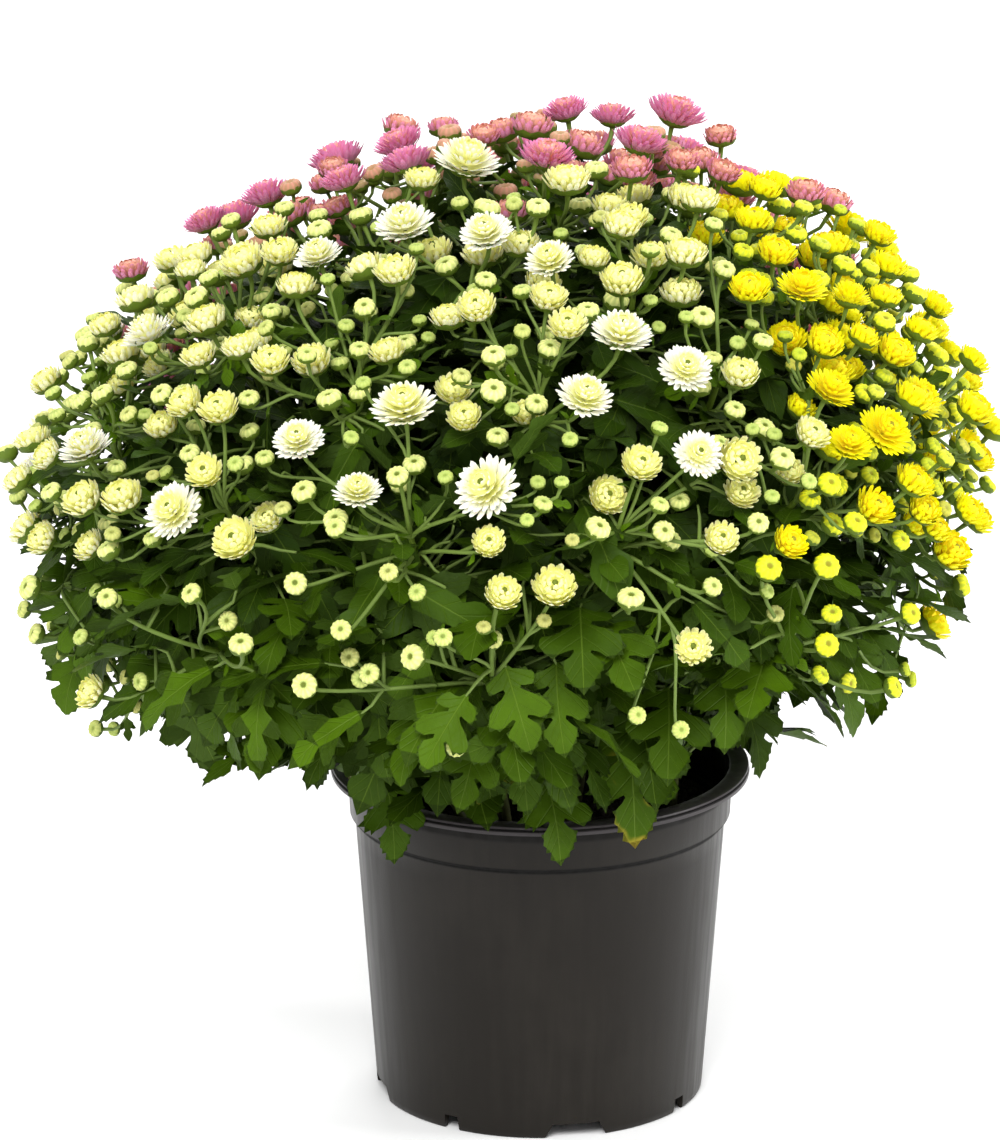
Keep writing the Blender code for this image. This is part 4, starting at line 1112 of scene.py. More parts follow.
def green_cup(profile, rng):
    """The cup of small green scales that holds a head, with pointed tips round its rim."""
    shape = Shape("rim")
    last = len(profile) - 1
    rings = []
    for number, (radius, height) in enumerate(profile):
        ring = []
        for k in range(CUP_SIDES):
            turn = math.tau * k / CUP_SIDES
            tip = (0.07 if k % 2 else -0.06) * rng.uniform(0.7, 1.3) if number == last else 0.0
            reach = radius * (1.0 if k % 2 else 0.96)
            point = (reach * math.cos(turn), reach * math.sin(turn), height + tip)
            ring.append(shape.add(point, rim=number / last))
        rings.append(ring)
    for lower, upper in zip(rings, rings[1:]):
        shape.band(lower, upper)
    return shape


# Leaves, in leaf lengths: along X, with the blade's base at the origin


# One half of each form's outline, as (along, across).
LARGE_OUTLINE = (
    (0.00, 0.014), (0.04, 0.028), (0.08, 0.060), (0.105, 0.125), (0.098, 0.190), (0.140, 0.205),
    (0.152, 0.265), (0.192, 0.242), (0.228, 0.305), (0.248, 0.245), (0.294, 0.262), (0.290, 0.200),
    (0.276, 0.140), (0.262, 0.088), (0.292, 0.076), (0.345, 0.135), (0.392, 0.196), (0.404, 0.262),
    (0.446, 0.258), (0.470, 0.338), (0.508, 0.318), (0.566, 0.398), (0.584, 0.330), (0.644, 0.346),
    (0.638, 0.272), (0.680, 0.258), (0.646, 0.190), (0.602, 0.130), (0.578, 0.078), (0.606, 0.066),
    (0.654, 0.104), (0.694, 0.146), (0.712, 0.206), (0.750, 0.166), (0.802, 0.202), (0.816, 0.142),
    (0.872, 0.156), (0.880, 0.098), (0.932, 0.092), (0.944, 0.046),
)
ROUND_OUTLINE = (
    (0.00, 0.014), (0.06, 0.070), (0.10, 0.160), (0.135, 0.170), (0.150, 0.245), (0.200, 0.240),
    (0.232, 0.300), (0.280, 0.268), (0.325, 0.272), (0.330, 0.205), (0.312, 0.130), (0.340, 0.118),
    (0.390, 0.190), (0.402, 0.255), (0.450, 0.262), (0.488, 0.340), (0.535, 0.320), (0.590, 0.365),
    (0.615, 0.310), (0.662, 0.300), (0.655, 0.220), (0.628, 0.140), (0.655, 0.122), (0.705, 0.180),
    (0.735, 0.245), (0.785, 0.212), (0.842, 0.228), (0.862, 0.165), (0.918, 0.152), (0.935, 0.085),
    (0.978, 0.060),
)
SMALL_OUTLINE = (
    (0.00, 0.016), (0.12, 0.045), (0.22, 0.140), (0.30, 0.250), (0.37, 0.262), (0.45, 0.330),
    (0.53, 0.315), (0.545, 0.235), (0.500, 0.125), (0.560, 0.110), (0.64, 0.160), (0.71, 0.210),
    (0.77, 0.165), (0.86, 0.130), (0.94, 0.070),
)
PLAIN_OUTLINE = (
    (0.00, 0.014), (0.08, 0.060), (0.098, 0.190), (0.152, 0.265), (0.192, 0.236), (0.228, 0.305),
    (0.294, 0.262), (0.276, 0.140), (0.262, 0.088), (0.345, 0.135), (0.404, 0.262), (0.446, 0.250),
    (0.470, 0.338), (0.508, 0.310), (0.566, 0.398), (0.584, 0.325), (0.644, 0.346), (0.638, 0.262),
    (0.602, 0.130), (0.578, 0.078), (0.654, 0.104), (0.712, 0.206), (0.750, 0.160), (0.802, 0.202),
    (0.816, 0.136), (0.872, 0.156), (0.880, 0.092), (0.944, 0.046),
)
BRACT_OUTLINE = ((0.00, 0.03), (0.30, 0.09), (0.55, 0.15), (0.62, 0.09), (0.85, 0.06))

# Side veins: where each leaves the rib, and how far along and across it runs. The fine ones are only colour.
SIDE_VEINS = ((0.06, 0.18, 0.23), (0.24, 0.36, 0.32), (0.58, 0.24, 0.13))
FINE_VEINS = ((0.15, 0.25, 0.20), (0.42, 0.27, 0.25), (0.72, 0.16, 0.10))
LEAF_VALUES = ("leaf_u", "leaf_v", "edge", "under")
DROOPS = (0.42, 0.62, 0.82, 1.02)
BRACT_DROOP = 0.8

# The leaf's forms in the order of their shapes: outline, thickness and whether its side veins are pressed in.
LEAF_FORMS = {
    "large": (LARGE_OUTLINE, LEAF_THICK, True),
    "round": (ROUND_OUTLINE, LEAF_THICK, True),
    "plain": (PLAIN_OUTLINE, LEAF_THICK, False),
    "small": (SMALL_OUTLINE, LEAF_THICK * 1.4, False),
}
SMALL_PICK = list(LEAF_FORMS).index("small") * len(DROOPS)
BRACT_PICK = len(LEAF_FORMS) * len(DROOPS)


def blunted(outline):
    """The outline with the teeth that stand out between their neighbours drawn half way in."""
    ends = [outline[0], *outline, outline[-1]]
    for (_, before), (u, v), (_, after) in zip(ends, outline, ends[2:]):
        yield u, (v + (before + after) / 2) / 2 if v > max(before, after) else v


def leaf_shape(outline, thick, detail, droop, rng):
    """A lobed blade of two sheets that meet at its edge, folded along its rib, waved and bent down."""
    outline = list(blunted(outline))
    half = [(u + rng.uniform(-0.006, 0.006) * (u > 0), v * rng.uniform(0.95, 1.05)) for u, v in outline]
    other = [(u + rng.uniform(-0.012, 0.012) * (u > 0), v * rng.uniform(0.90, 1.08)) for u, v in outline]
    border = half + [(1.0, 0.0)] + [(u, -v) for u, v in reversed(other)]
    inner = [(u, 0.0) for u in ((0.08, 0.2, 0.33, 0.46, 0.6, 0.74, 0.87) if detail else (0.25, 0.5, 0.75))]
    if detail:
        for start, along, across in SIDE_VEINS:
            for share in (0.40, 0.78):
                inner += [(start + along * share, sign * across * share) for sign in (-1, 1)]
    count = len(border)
    flat = [Vector(point) for point in border + inner]
    edges = [(k, (k + 1) % count) for k in range(count)]
    made = delaunay_2d_cdt(flat, edges, [tuple(range(count))], 1, 1e-6)
    points, faces, sources = made[0], made[2], made[3]
    shape = Shape(*LEAF_VALUES)
    phase = rng.uniform(0, math.tau)
    for lift in (0.0, -thick):
        for point, source in zip(points, sources):
            u, v = point
            edge = 1.0 if any(k < count for k in source) else 0.0
            wave = 0.035 * math.sin(11 * u + phase + (1.7 if v > 0 else 0.0)) * abs(v) / 0.3
            crease = -0.008 if detail and not edge and v != 0.0 else 0.0
            place = bent(u, v, droop, lift * (1 - edge) + wave + crease)
            shape.add(place, leaf_u=u, leaf_v=v, edge=edge, under=1.0 if lift else 0.0)
    total = len(points)
    for face in faces:
        a, b, c = (points[k] for k in face[:3])
        up = (b - a).cross(c - a) > 0
        face = tuple(face) if up else tuple(reversed(face))
        shape.faces.append(face)
        shape.faces.append(tuple(k + total for k in reversed(face)))
    return shape


def bent(u, v, droop, lift):
    """The place of a blade's point, with the fold and the droop that the leaf's own solid has."""
    angle = droop * u
    run = math.sin(angle) / droop
    rise = LEAF_FOLD * abs(v) - 0.22 * v * v - (1.0 - math.cos(angle)) / droop
    return Vector((run + lift * math.sin(angle), v, rise + lift * math.cos(angle)))


# Node trees for what is repeated and for what follows a line


def tree_with(name, inputs):
    """A geometry tree with named inputs, its start and its end."""
    tree = bpy.data.node_groups.new(name, "GeometryNodeTree")
    tree.is_modifier = True
    tree.interface.new_socket(name="Geometry", in_out="INPUT", socket_type="NodeSocketGeometry")
    for label, kind in inputs:
        tree.interface.new_socket(name=label, in_out="INPUT", socket_type=kind)
    tree.interface.new_socket(name="Geometry", in_out="OUTPUT", socket_type="NodeSocketGeometry")
    return tree, tree.nodes.new("NodeGroupInput"), tree.nodes.new("NodeGroupOutput")


def named(tree, name, kind):
    node = tree.nodes.new("GeometryNodeInputNamedAttribute")
    node.data_type = kind
    node.inputs["Name"].default_value = name
    return node.outputs["Attribute"]


def end_tree(tree, geometry, start, end):
    """Every tree ends in real geometry with its finish set."""
    real = tree.nodes.new("GeometryNodeRealizeInstances")
    finish = tree.nodes.new("GeometryNodeSetMaterial")
    tree.links.new(geometry, real.inputs["Geometry"])
    tree.links.new(real.outputs["Geometry"], finish.inputs["Geometry"])
    tree.links.new(start.outputs["Finish"], finish.inputs["Material"])
    tree.links.new(finish.outputs["Geometry"], end.inputs["Geometry"])


def set_on_points_tree():
    """Sets one of several shapes on each point, turned and sized by the point's own values."""
    inputs = (("Shapes", "NodeSocketCollection"), ("Finish", "NodeSocketMaterial"))
    tree, start, end = tree_with("shapes_on_points", inputs)
    link = tree.links.new
    shapes = tree.nodes.new("GeometryNodeCollectionInfo")
    shapes.inputs["Separate Children"].default_value = True
    shapes.inputs["Reset Children"].default_value = True
    link(start.outputs["Shapes"], shapes.inputs["Collection"])
    put = tree.nodes.new("GeometryNodeInstanceOnPoints")
    put.inputs["Pick Instance"].default_value = True
    turn = tree.nodes.new("FunctionNodeEulerToRotation")
    link(named(tree, "turn", "FLOAT_VECTOR"), turn.inputs["Euler"])
    link(start.outputs["Geometry"], put.inputs["Points"])
    link(shapes.outputs["Instances"], put.inputs["Instance"])
    link(named(tree, "pick", "INT"), put.inputs["Instance Index"])
    link(turn.outputs["Rotation"], put.inputs["Rotation"])
    link(named(tree, "size", "FLOAT"), put.inputs["Scale"])
    end_tree(tree, put.outputs["Instances"], start, end)
    return tree


def tubes_tree():
    """Round stalks along lines, as thick as each line says."""
    inputs = (("Sides", "NodeSocketInt"), ("Finish", "NodeSocketMaterial"))
    tree, start, end = tree_with("stalks_along_lines", inputs)
    link = tree.links.new
    profile = tree.nodes.new("GeometryNodeCurvePrimitiveCircle")
    profile.inputs["Radius"].default_value = 1.0
    radius = tree.nodes.new("GeometryNodeInputRadius")
    girth = tree.nodes.new("GeometryNodeStoreNamedAttribute")
    girth.data_type = "FLOAT"
    girth.domain = "POINT"
    girth.inputs["Name"].default_value = "girth"
    sweep = tree.nodes.new("GeometryNodeCurveToMesh")
    sweep.inputs["Fill Caps"].default_value = True
    link(start.outputs["Sides"], profile.inputs["Resolution"])
    link(start.outputs["Geometry"], girth.inputs["Geometry"])
    link(radius.outputs["Radius"], girth.inputs["Value"])
    link(girth.outputs["Geometry"], sweep.inputs["Curve"])
    link(profile.outputs["Curve"], sweep.inputs["Profile Curve"])
    link(radius.outputs["Radius"], sweep.inputs["Scale"])
    end_tree(tree, sweep.outputs["Mesh"], start, end)
    return tree


def result_of(made, tree, values):
    """The plain mesh that a tree makes of an object's data."""
    modifier = made.modifiers.new("tree", "NODES")
    modifier.node_group = tree
    for item in tree.interface.items_tree:
        if item.item_type == "SOCKET" and item.in_out == "INPUT" and item.name in values:
            modifier[item.identifier] = values[item.name]
    return evaluated(made)


class Places:
    """Points at which shapes are set, each with its axes, size, shape number and values for the finish."""

    def __init__(self):
        self.points = []
        self.turns = []
        self.columns = {"size": [], "tint": [], "shade": [], "worn": []}
        self.picks = []

    def add(self, point, axes, size, pick, tint=0.0, shade=0.0, worn=0.0):
        self.points.append(tuple(point))
        self.turns += list(Matrix(axes).transposed().to_euler())
        self.picks.append(pick)
        for name, value in zip(self.columns, (size, tint, shade, worn)):
            self.columns[name].append(value)

    def set(self, name, collection, finish):
        """The mesh of the collection's shapes set on the points."""
        points = bpy.data.meshes.new(name)
        points.from_pydata(self.points, [], [])
        points.attributes.new("turn", "FLOAT_VECTOR", "POINT").data.foreach_set("vector", self.turns)
        points.attributes.new("pick", "INT", "POINT").data.foreach_set("value", self.picks)
        for column, values in self.columns.items():
            points.attributes.new(column, "FLOAT", "POINT").data.foreach_set("value", values)
        return result_of(placed(name, points), SET_ON_POINTS, {"Shapes": collection, "Finish": finish})


def tubes(name, lines, sides, finish):
    """Stalks along lines of (point, radius)."""
    curve = bpy.data.curves.new(name, "CURVE")
    curve.dimensions = "3D"
    for line in lines:
        spline = curve.splines.new("POLY")
        spline.points.add(len(line) - 1)
        for spot, (point, radius) in zip(spline.points, line):
            spot.co = (*point, 1.0)
            spot.radius = radius
    mesh = result_of(placed(name, curve), TUBES, {"Sides": sides, "Finish": finish})
    mesh.shade_smooth()
    return mesh


def joined(meshes):
    """Several meshes as one, each keeping its values."""
    objects = [placed("join", mesh) for mesh in meshes]
    with bpy.context.temp_override(
        active_object=objects[0], selected_objects=objects, selected_editable_objects=objects
    ):
        bpy.ops.object.join()
    mesh = objects[0].data
    bpy.data.objects.remove(objects[0], do_unlink=True)
    return mesh


def add_piece(name, mesh, nodes, finish=None):
    """A finished piece, moved to the pot's place in its own mesh."""
    if finish:
        mesh.materials.clear()
        mesh.materials.append(finish)
    mesh.transform(Matrix.Translation(POT_AT))
    mesh.name = name
    made = placed(name, mesh)
    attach(made, "root")
    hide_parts(*nodes)


# Finishes


class Value:
    """What a shader node puts out, with sums, differences, products and quotients written as such."""

    def __init__(self, graph, socket):
        self.graph = graph
        self.socket = socket

    def __add__(self, other):
        return self.graph.math("ADD", self, other)

    def __sub__(self, other):
        return self.graph.math("SUBTRACT", self, other)

    def __rsub__(self, other):
        return self.graph.math("SUBTRACT", other, self)

    def __mul__(self, other):
        return self.graph.math("MULTIPLY", self, other)

    def __truediv__(self, other):
        return self.graph.math("DIVIDE", self, other)

    def __abs__(self):
        return self.graph.math("ABSOLUTE", self)


class Graph:
    """Short names for the shader nodes that the finishes are made of."""

    def __init__(self, tree):
        self.tree = tree

    def node(self, kind, **settings):
        made = self.tree.nodes.new(kind)
        for name, value in settings.items():
            setattr(made, name, value)
        return made

    def feed(self, socket, value):
        """Links a value to a socket, or sets the socket to a number or a colour."""
        if isinstance(value, Value):
            self.tree.links.new(value.socket, socket)
        elif socket.type == "RGBA":
            socket.default_value = (*value, 1.0)
        else:
            socket.default_value = value

    def feed_all(self, node, values):
        for name, value in values.items():
            self.feed(node.inputs[name], value)

    def out(self, node, name):
        return Value(self, node.outputs[name])

    def math(self, operation, a, b=0.0, clamp=False):
        made = self.node("ShaderNodeMath", operation=operation, use_clamp=clamp)
        self.feed(made.inputs[0], a)
        self.feed(made.inputs[1], b)
        return self.out(made, "Value")

    def mix(self, share, a, b, blend="MIX"):
        made = self.node("ShaderNodeMix", data_type="RGBA", blend_type=blend)
        self.feed(made.inputs["Factor"], share)
        sockets = {socket.name: socket for socket in made.inputs if socket.type == "RGBA"}
        self.feed(sockets["A"], a)
        self.feed(sockets["B"], b)
        return Value(self, next(socket for socket in made.outputs if socket.type == "RGBA"))

    def range(self, value, low, high, to_low=0.0, to_high=1.0):
        """A value carried smoothly from one range to another."""
        made = self.node("ShaderNodeMapRange", interpolation_type="SMOOTHSTEP")
        for socket, item in zip(made.inputs[:5], (value, low, high, to_low, to_high)):
            self.feed(socket, item)
        return self.out(made, "Result")

    def noise(self, scale, detail=3.0, roughness=0.55, stretch=None):
        """Noise at the object's own places, which may be stretched."""
        made = self.node("ShaderNodeTexNoise")
        spot = self.stretched(stretch) if stretch else self.place()
        self.feed_all(made, {"Vector": spot, "Scale": scale, "Detail": detail, "Roughness": roughness})
        return self.out(made, "Fac")

    def place(self):
        return self.out(self.node("ShaderNodeTexCoord"), "Object")

    def height(self):
        """Height above the ground."""
        made = self.node("ShaderNodeSeparateXYZ")
        self.feed(made.inputs["Vector"], self.place())
        return self.out(made, "Z")

    def stretched(self, scale):
        made = self.node("ShaderNodeMapping")
        self.feed_all(made, {"Vector": self.place(), "Scale": scale})
        return self.out(made, "Vector")

    def value(self, name):
        """A value that the mesh holds at its points."""
        return self.out(self.node("ShaderNodeAttribute", attribute_name=name), "Fac")

    def bump(self, height, strength, distance):
        made = self.node("ShaderNodeBump")
        self.feed_all(made, {"Height": height, "Strength": strength, "Distance": distance})
        return self.out(made, "Normal")


def shader_group(name, inputs, outputs):
    """A shader node group with named inputs and outputs."""
    tree = bpy.data.node_groups.new(name, "ShaderNodeTree")
    for label, kind, default in inputs:
        socket = tree.interface.new_socket(name=label, in_out="INPUT", socket_type=kind)
        socket.default_value = default
    for label, kind in outputs:
        tree.interface.new_socket(name=label, in_out="OUTPUT", socket_type=kind)
    return tree, Graph(tree), tree.nodes.new("NodeGroupInput"), tree.nodes.new("NodeGroupOutput")


def mottle_group():
    """Soft uneven colour and a fine grain, shared by everything that grows."""
    tree, graph, start, end = shader_group(
        "mottle",
        (
            ("Scale", "NodeSocketFloat", 60.0), ("Amount", "NodeSocketFloat", 0.2),
            ("Color", "NodeSocketColor", (1, 1, 1, 1)),
        ),
        (("Color", "NodeSocketColor"), ("Grain", "NodeSocketFloat")),
    )
    scale, amount, color = (graph.out(start, name) for name in ("Scale", "Amount", "Color"))
    broad = graph.noise(scale)
    fine = graph.noise(scale * 14.0, 2.0)
    dark = graph.mix(1.0, color, (0.45, 0.45, 0.42), "MULTIPLY")
    mottled_color = graph.mix(graph.range(broad, 0.35, 0.7) * amount, color, dark)
    graph.feed_all(end, {"Color": mottled_color, "Grain": fine})
    return tree


def material(name):
    made = bpy.data.materials.new(name)
    made.use_nodes = True
    graph = Graph(made.node_tree)
    return made, graph, made.node_tree.nodes["Principled BSDF"]


def mottled(graph, color, scale, amount):
    """The colour made uneven, and a grain from 0 to 1."""
    made = graph.node("ShaderNodeGroup", node_tree=MOTTLE)
    graph.feed_all(made, {"Color": color, "Scale": scale, "Amount": amount})
    return graph.out(made, "Color"), graph.out(made, "Grain")


def petal_material(colour):
    """Petals: pale or bright at their tips, warmer inside, green-tinged in the bud and at the heart."""
    look = PETAL_LOOKS[colour]
    made, graph, shader = material(colour + "_petals")
    along, layer, opened, tint = (graph.value(name) for name in ("along", "layer", "open", "tint"))
    shown = along * 1.15 - layer * 0.75 + tint * 0.25
    rimmed = graph.mix(graph.range(shown, 0.62, 1.15) * look["tip_share"], look["half_open"], look["tip"])
    open_tip = graph.mix(graph.range(opened, 0.5, 1.0), rimmed, look["tip"])
    closed_tip = graph.mix(graph.range(along, 0.35, 1.0) * 0.80, look["bud"], look["half_open"])
    unfolded = graph.range(opened, 0.0, 0.5)
    color = graph.mix(unfolded, closed_tip, open_tip)
    # The inner colour at the roots of open heads' petals; for the yellow it is partly painted shade.
    color = graph.mix(unfolded * graph.range(shown, 0.85, 0.05), color, look["inner"])
    deep = layer + (1.0 - along) * 0.30
    color = graph.mix(graph.range(deep, 1.28, 1.55), color, look["heart"])
    young = graph.mix(graph.range(tint, 0.55, 0.95) * 0.55, look["young"], BUD_BROWN)
    color = graph.mix(graph.value("shade"), color, young)
    color, grain = mottled(graph, color, 90.0, 0.08)
    streaks = graph.math("SINE", graph.value("across") * 9.0)
    graph.feed_all(shader, {
        "Base Color": color,
        "Normal": graph.bump(streaks * 0.5 + grain, 0.30, 0.0003),
        "Roughness": graph.range(grain, 0.2, 0.8, 0.52, 0.68),
        "Sheen Weight": look["sheen"],
        "Sheen Roughness": 0.5,
        "Specular IOR Level": 0.3,
        "Subsurface Weight": 0.30,
        "Subsurface Radius": (1.0, 0.8, 0.5),
        "Subsurface Scale": 0.003,
    })
    return made


def vein_group():
    """How near a point of a leaf is to its rib and side veins."""
    tree, graph, start, end = shader_group(
        "leaf_veins",
        (("Width", "NodeSocketFloat", 0.01),),
        (("Rib", "NodeSocketFloat"), ("Side veins", "NodeSocketFloat")),
    )
    u, v, width = graph.value("leaf_u"), abs(graph.value("leaf_v")), graph.out(start, "Width")
    rib = graph.math("SUBTRACT", 1.0, v / (width * (1.7 - u)), clamp=True)
    side = 0.0
    for begin, along, across in SIDE_VEINS + FINE_VEINS:
        length = math.hypot(along, across)
        off = (u - begin) * (across / length) - v * (along / length)
        side = graph.math("MAXIMUM", side, graph.math("SUBTRACT", 1.0, abs(off) / width, clamp=True))
    graph.feed_all(end, {"Rib": rib, "Side veins": side})
    return tree


def leaf_material():
    """Leaves: deep green, lighter along the veins and below, with a few yellow and brown tips, painted light
    low in front and painted shade deep in the crown.
    """
    made, graph, shader = material("leaf")
    veins = graph.node("ShaderNodeGroup", node_tree=VEINS)
    veins.inputs["Width"].default_value = 0.008
    rib, side = graph.out(veins, "Rib"), graph.out(veins, "Side veins")
    # The tint is a random tone plus painted light on leaves low in front.
    color = graph.mix(graph.value("tint"), LEAF_DEEP, LEAF_FRESH_AND_PAINTED_LIGHT)
    # Painted shade on leaves deep inside the crown and higher up.
    color = graph.mix(graph.value("shade"), color, LEAF_SHADED)
    color = graph.mix(graph.value("under") * 0.55, color, LEAF_UNDER)
    color, grain = mottled(graph, color, 45.0, 0.35)
    color = graph.mix(graph.math("MAXIMUM", rib * 0.60, side * 0.16), color, LEAF_VEIN)
    edge = (graph.value("edge") + graph.range(graph.value("leaf_u"), 0.7, 1.1)) * 0.35
    age = (edge + graph.noise(70.0, 2.0)) * graph.value("worn")
    color = graph.mix(graph.range(age, 0.66, 0.90), color, LEAF_YELLOW)
    color = graph.mix(graph.range(age, 0.84, 1.00), color, LEAF_BROWN)
    relief = grain * 0.5 - graph.math("MAXIMUM", rib, side) + graph.noise(260.0, 2.0)
    graph.feed_all(shader, {
        "Base Color": color,
        "Normal": graph.bump(relief, 0.55, 0.0006),
        "Roughness": graph.range(grain, 0.2, 0.8, 0.46, 0.64),
        "Specular IOR Level": 0.10,
    })
    return made


def stalk_material():
    """Stems and stalks: fresh green, browner towards the soil, and paler where they are thin."""
    made, graph, shader = material("stalk")
    up, girth = graph.height(), graph.value("girth")
    color = graph.mix(graph.range(up, 0.20, 0.42), STALK_LOW, STALK_HIGH)
    color = graph.mix(graph.range(up, 0.235, 0.165), color, STALK_FOOT)
    color = graph.mix(graph.value("rim") * 0.35, color, STALK_HIGH)
    thin = graph.range(girth, 0.0017, 0.0009) * graph.range(girth, 0.0, 0.0004)
    color = graph.mix(thin * 0.50, color, STALK_PALE)
    color, grain = mottled(graph, color, 120.0, 0.30)
    ribs = graph.noise(1.0, 2.0, stretch=(900.0, 900.0, 60.0))
    graph.feed_all(shader, {
        "Base Color": color,
        "Normal": graph.bump(ribs + grain, 0.35, 0.0004),
        "Roughness": graph.range(grain, 0.2, 0.8, 0.48, 0.66),
        "Specular IOR Level": 0.25,
    })
    return made


def pot_material():
    """Moulded dark plastic: satin, with fine orange peel, faint mould lines and dust, painted highlights
    along the lip and painted shade under the lip and the collar.
    """
    made, graph, shader = material("pot_plastic")
    broad = graph.noise(14.0, 4.0, 0.6)
    streaks = graph.noise(1.0, 3.0, stretch=(160.0, 160.0, 6.0))
    fine = graph.noise(900.0, 2.0)
    dust = graph.range(broad * 0.7 + streaks * 0.4, 0.45, 0.85)
    color = graph.mix(dust * 0.35, POT_DARK, POT_DUSTY)
    rough = graph.range(streaks, 0.3, 0.7, 0.30, 0.40) + dust * 0.08
    up = graph.height()
    # Painted highlights on the lip's edges and painted shade in its groove, under the lip and under the
    # collar; the shaded bands are also rougher.
    for middle, half, share, tone in POT_PAINTED_LINES:
        band = graph.range(abs(up - middle), half, half * 0.4) * share
        color = graph.mix(band, color, tone)
        if tone == POT_PAINTED_SHADE:
            rough = rough + band * 0.5
    graph.feed_all(shader, {
        "Base Color": color,
        "Normal": graph.bump(fine * 0.6 + streaks * 0.6, 0.12, 0.0004),
        "Roughness": rough,
        "Specular IOR Level": 0.22,
    })
    return made


def soil_material():
    """Dark peat and bark, with paler fibres."""
    made, graph, shader = material("potting_mix")
    lumps = graph.noise(160.0, 6.0, 0.7)
    fibres = graph.noise(1.0, 3.0, stretch=(420.0, 90.0, 420.0))
    color = graph.mix(graph.range(lumps, 0.35, 0.7), SOIL_DARK, SOIL_LIGHT)
    graph.feed_all(shader, {
        "Base Color": graph.mix(graph.range(fibres, 0.66, 0.74), color, SOIL_FIBRE),
        "Normal": graph.bump(lumps, 0.9, 0.002),
        "Roughness": graph.range(lumps, 0.2, 0.8, 0.82, 0.98),
    })
    return made


def paper_material():
    """The pale studio floor."""
    made, graph, shader = material("studio_paper")
    graph.feed_all(shader, {"Base Color": graph.mix(graph.noise(9.0), *PAPER_TONES), "Roughness": 0.9})
    return made


# Flower heads


def axes_along(axis, turn):
    """Three axes of which the last is axis, turned round it."""
    first = axis.orthogonal().normalized()
    second = axis.cross(first)
    one = first * math.cos(turn) + second * math.sin(turn)
    return one, axis.cross(one), axis


def head_shapes(rng):
    """The heads that are set on the stalks, first the open ones, then the cups, then the buds."""
    kinds = (
        (FLAT_BLOOM, 1.0, (0.11, 0.98)), (CONE_BLOOM, 1.0, (0.12, 0.92)),
        (ROUND_CUP, 0.5, (0.15, 1.12)), (WIDE_CUP, 0.5, (0.17, 1.12)),
    )
    shapes = [petalled_head(rng, *kind) for kind in kinds for _ in range(HEAD_FORMS)]
    return shapes + [bud_shape(rng) for _ in range(HEAD_FORMS)]


def head_pick(head, rng):
    """Which shape a head takes: pink blooms open as upturned cones."""
    first = {"bloom": 0, "cup": 2, "bud": 4}[head.kind]
    if head.kind == "cup" and rng.random() < 0.5 or head.kind == "bloom" and head.colour == "pink":
        first += 1
    return first * HEAD_FORMS + rng.randrange(HEAD_FORMS)


# Stalks of the sprays


def line_along(points, start_radius, end_radius, steps, swell=0.0):
    """A curve as a line of (point, radius), which may swell at its end."""
    line = []
    for k in range(steps + 1):
        t = k / steps
        radius = start_radius + (end_radius - start_radius) * t + swell * max(0.0, t - 0.85) / 0.15
        line.append((bezier(points, t), radius))
    return line


def pedicel(start, way, head):
    """The curve of a pedicel from its root to its head's base."""
    end = head.base
    reach = (end - start).length
    return start, start + way * 0.30 * reach, end - head.axis * 0.34 * reach, end + head.axis * 0.0006


def plan_lines(spray, heads):
    """The stalk and the pedicels of the heads that the solid has, as curves and as lines."""
    top = spray.foot + spray.axis * (SPRAY_NODES[-1] + KNOB_RISE)
    spray.lines.append([
        (spray.foot - spray.axis * 0.003, STEM_TIP_RADIUS), (spray.foot + spray.axis * 0.02, STALK_RADIUS),
        (top, 0.0016),
    ])
    if spray.end is not None:
        spray.curves.append(pedicel(top - spray.axis * 0.002, spray.axis, heads[spray.end]))
        spray.lines.append(line_along(spray.curves[-1], 0.0014, 0.0011, 8, 0.0005))
    for i, station in spray.shoots:
        start = spray.foot + spray.axis * (SPRAY_NODES[station] + KNOB_RISE / 2)
        way = (spray.axis * 0.7 + (heads[i].base - start).normalized() * 0.6).normalized()
        spray.curves.append(pedicel(start, way, heads[i]))
        spray.lines.append(line_along(spray.curves[-1], 0.00125, 0.0010, 8, 0.0005))


def side_heads(sprays, head_room, rng):
    """Further cups and buds in the free places of the crown, each with its pedicel on a fork of another."""
    added = {spray.number: [] for spray in sprays}
    for index in range(SIDE_HEAD_TRIES):
        point = on_crown(*spiral(index, SIDE_HEAD_TRIES, HEAD_FALL, start=1.0), rng.uniform(*SIDE_DEPTHS))
        colour = colour_at(point)
        full = fullness(point)
        dense = full > SKIRT_TOP
        small = rng.random() < SMALL_SHARE[colour] or full < SKIRT_TOP
        width = rng.uniform(*(LARGE_WIDTHS if not small else SMALL_WIDTHS if dense else SKIRT_WIDTHS))
        axis = head_axis(point, rng)
        share = SIDE_SHARE[colour] if dense else SKIRT_SHARE[colour]
        if full < SIDE_FOOT or rng.random() > share or not head_room.free(point, width / 2 + SIDE_GAP):
            continue
        head = Head(colour, point, axis, width)
        own = [spray for spray in sprays if spray.colour == colour and spray.curves]
        own.sort(key=lambda spray: (spray.anchor - point).length)
        fork = best_fork(own[:3], head, head_room)
        if fork:
            spray, curve = fork
            head_room.add(point, width / 2 + HEAD_GAP)
            added[spray.number].append((head, curve))
    return added


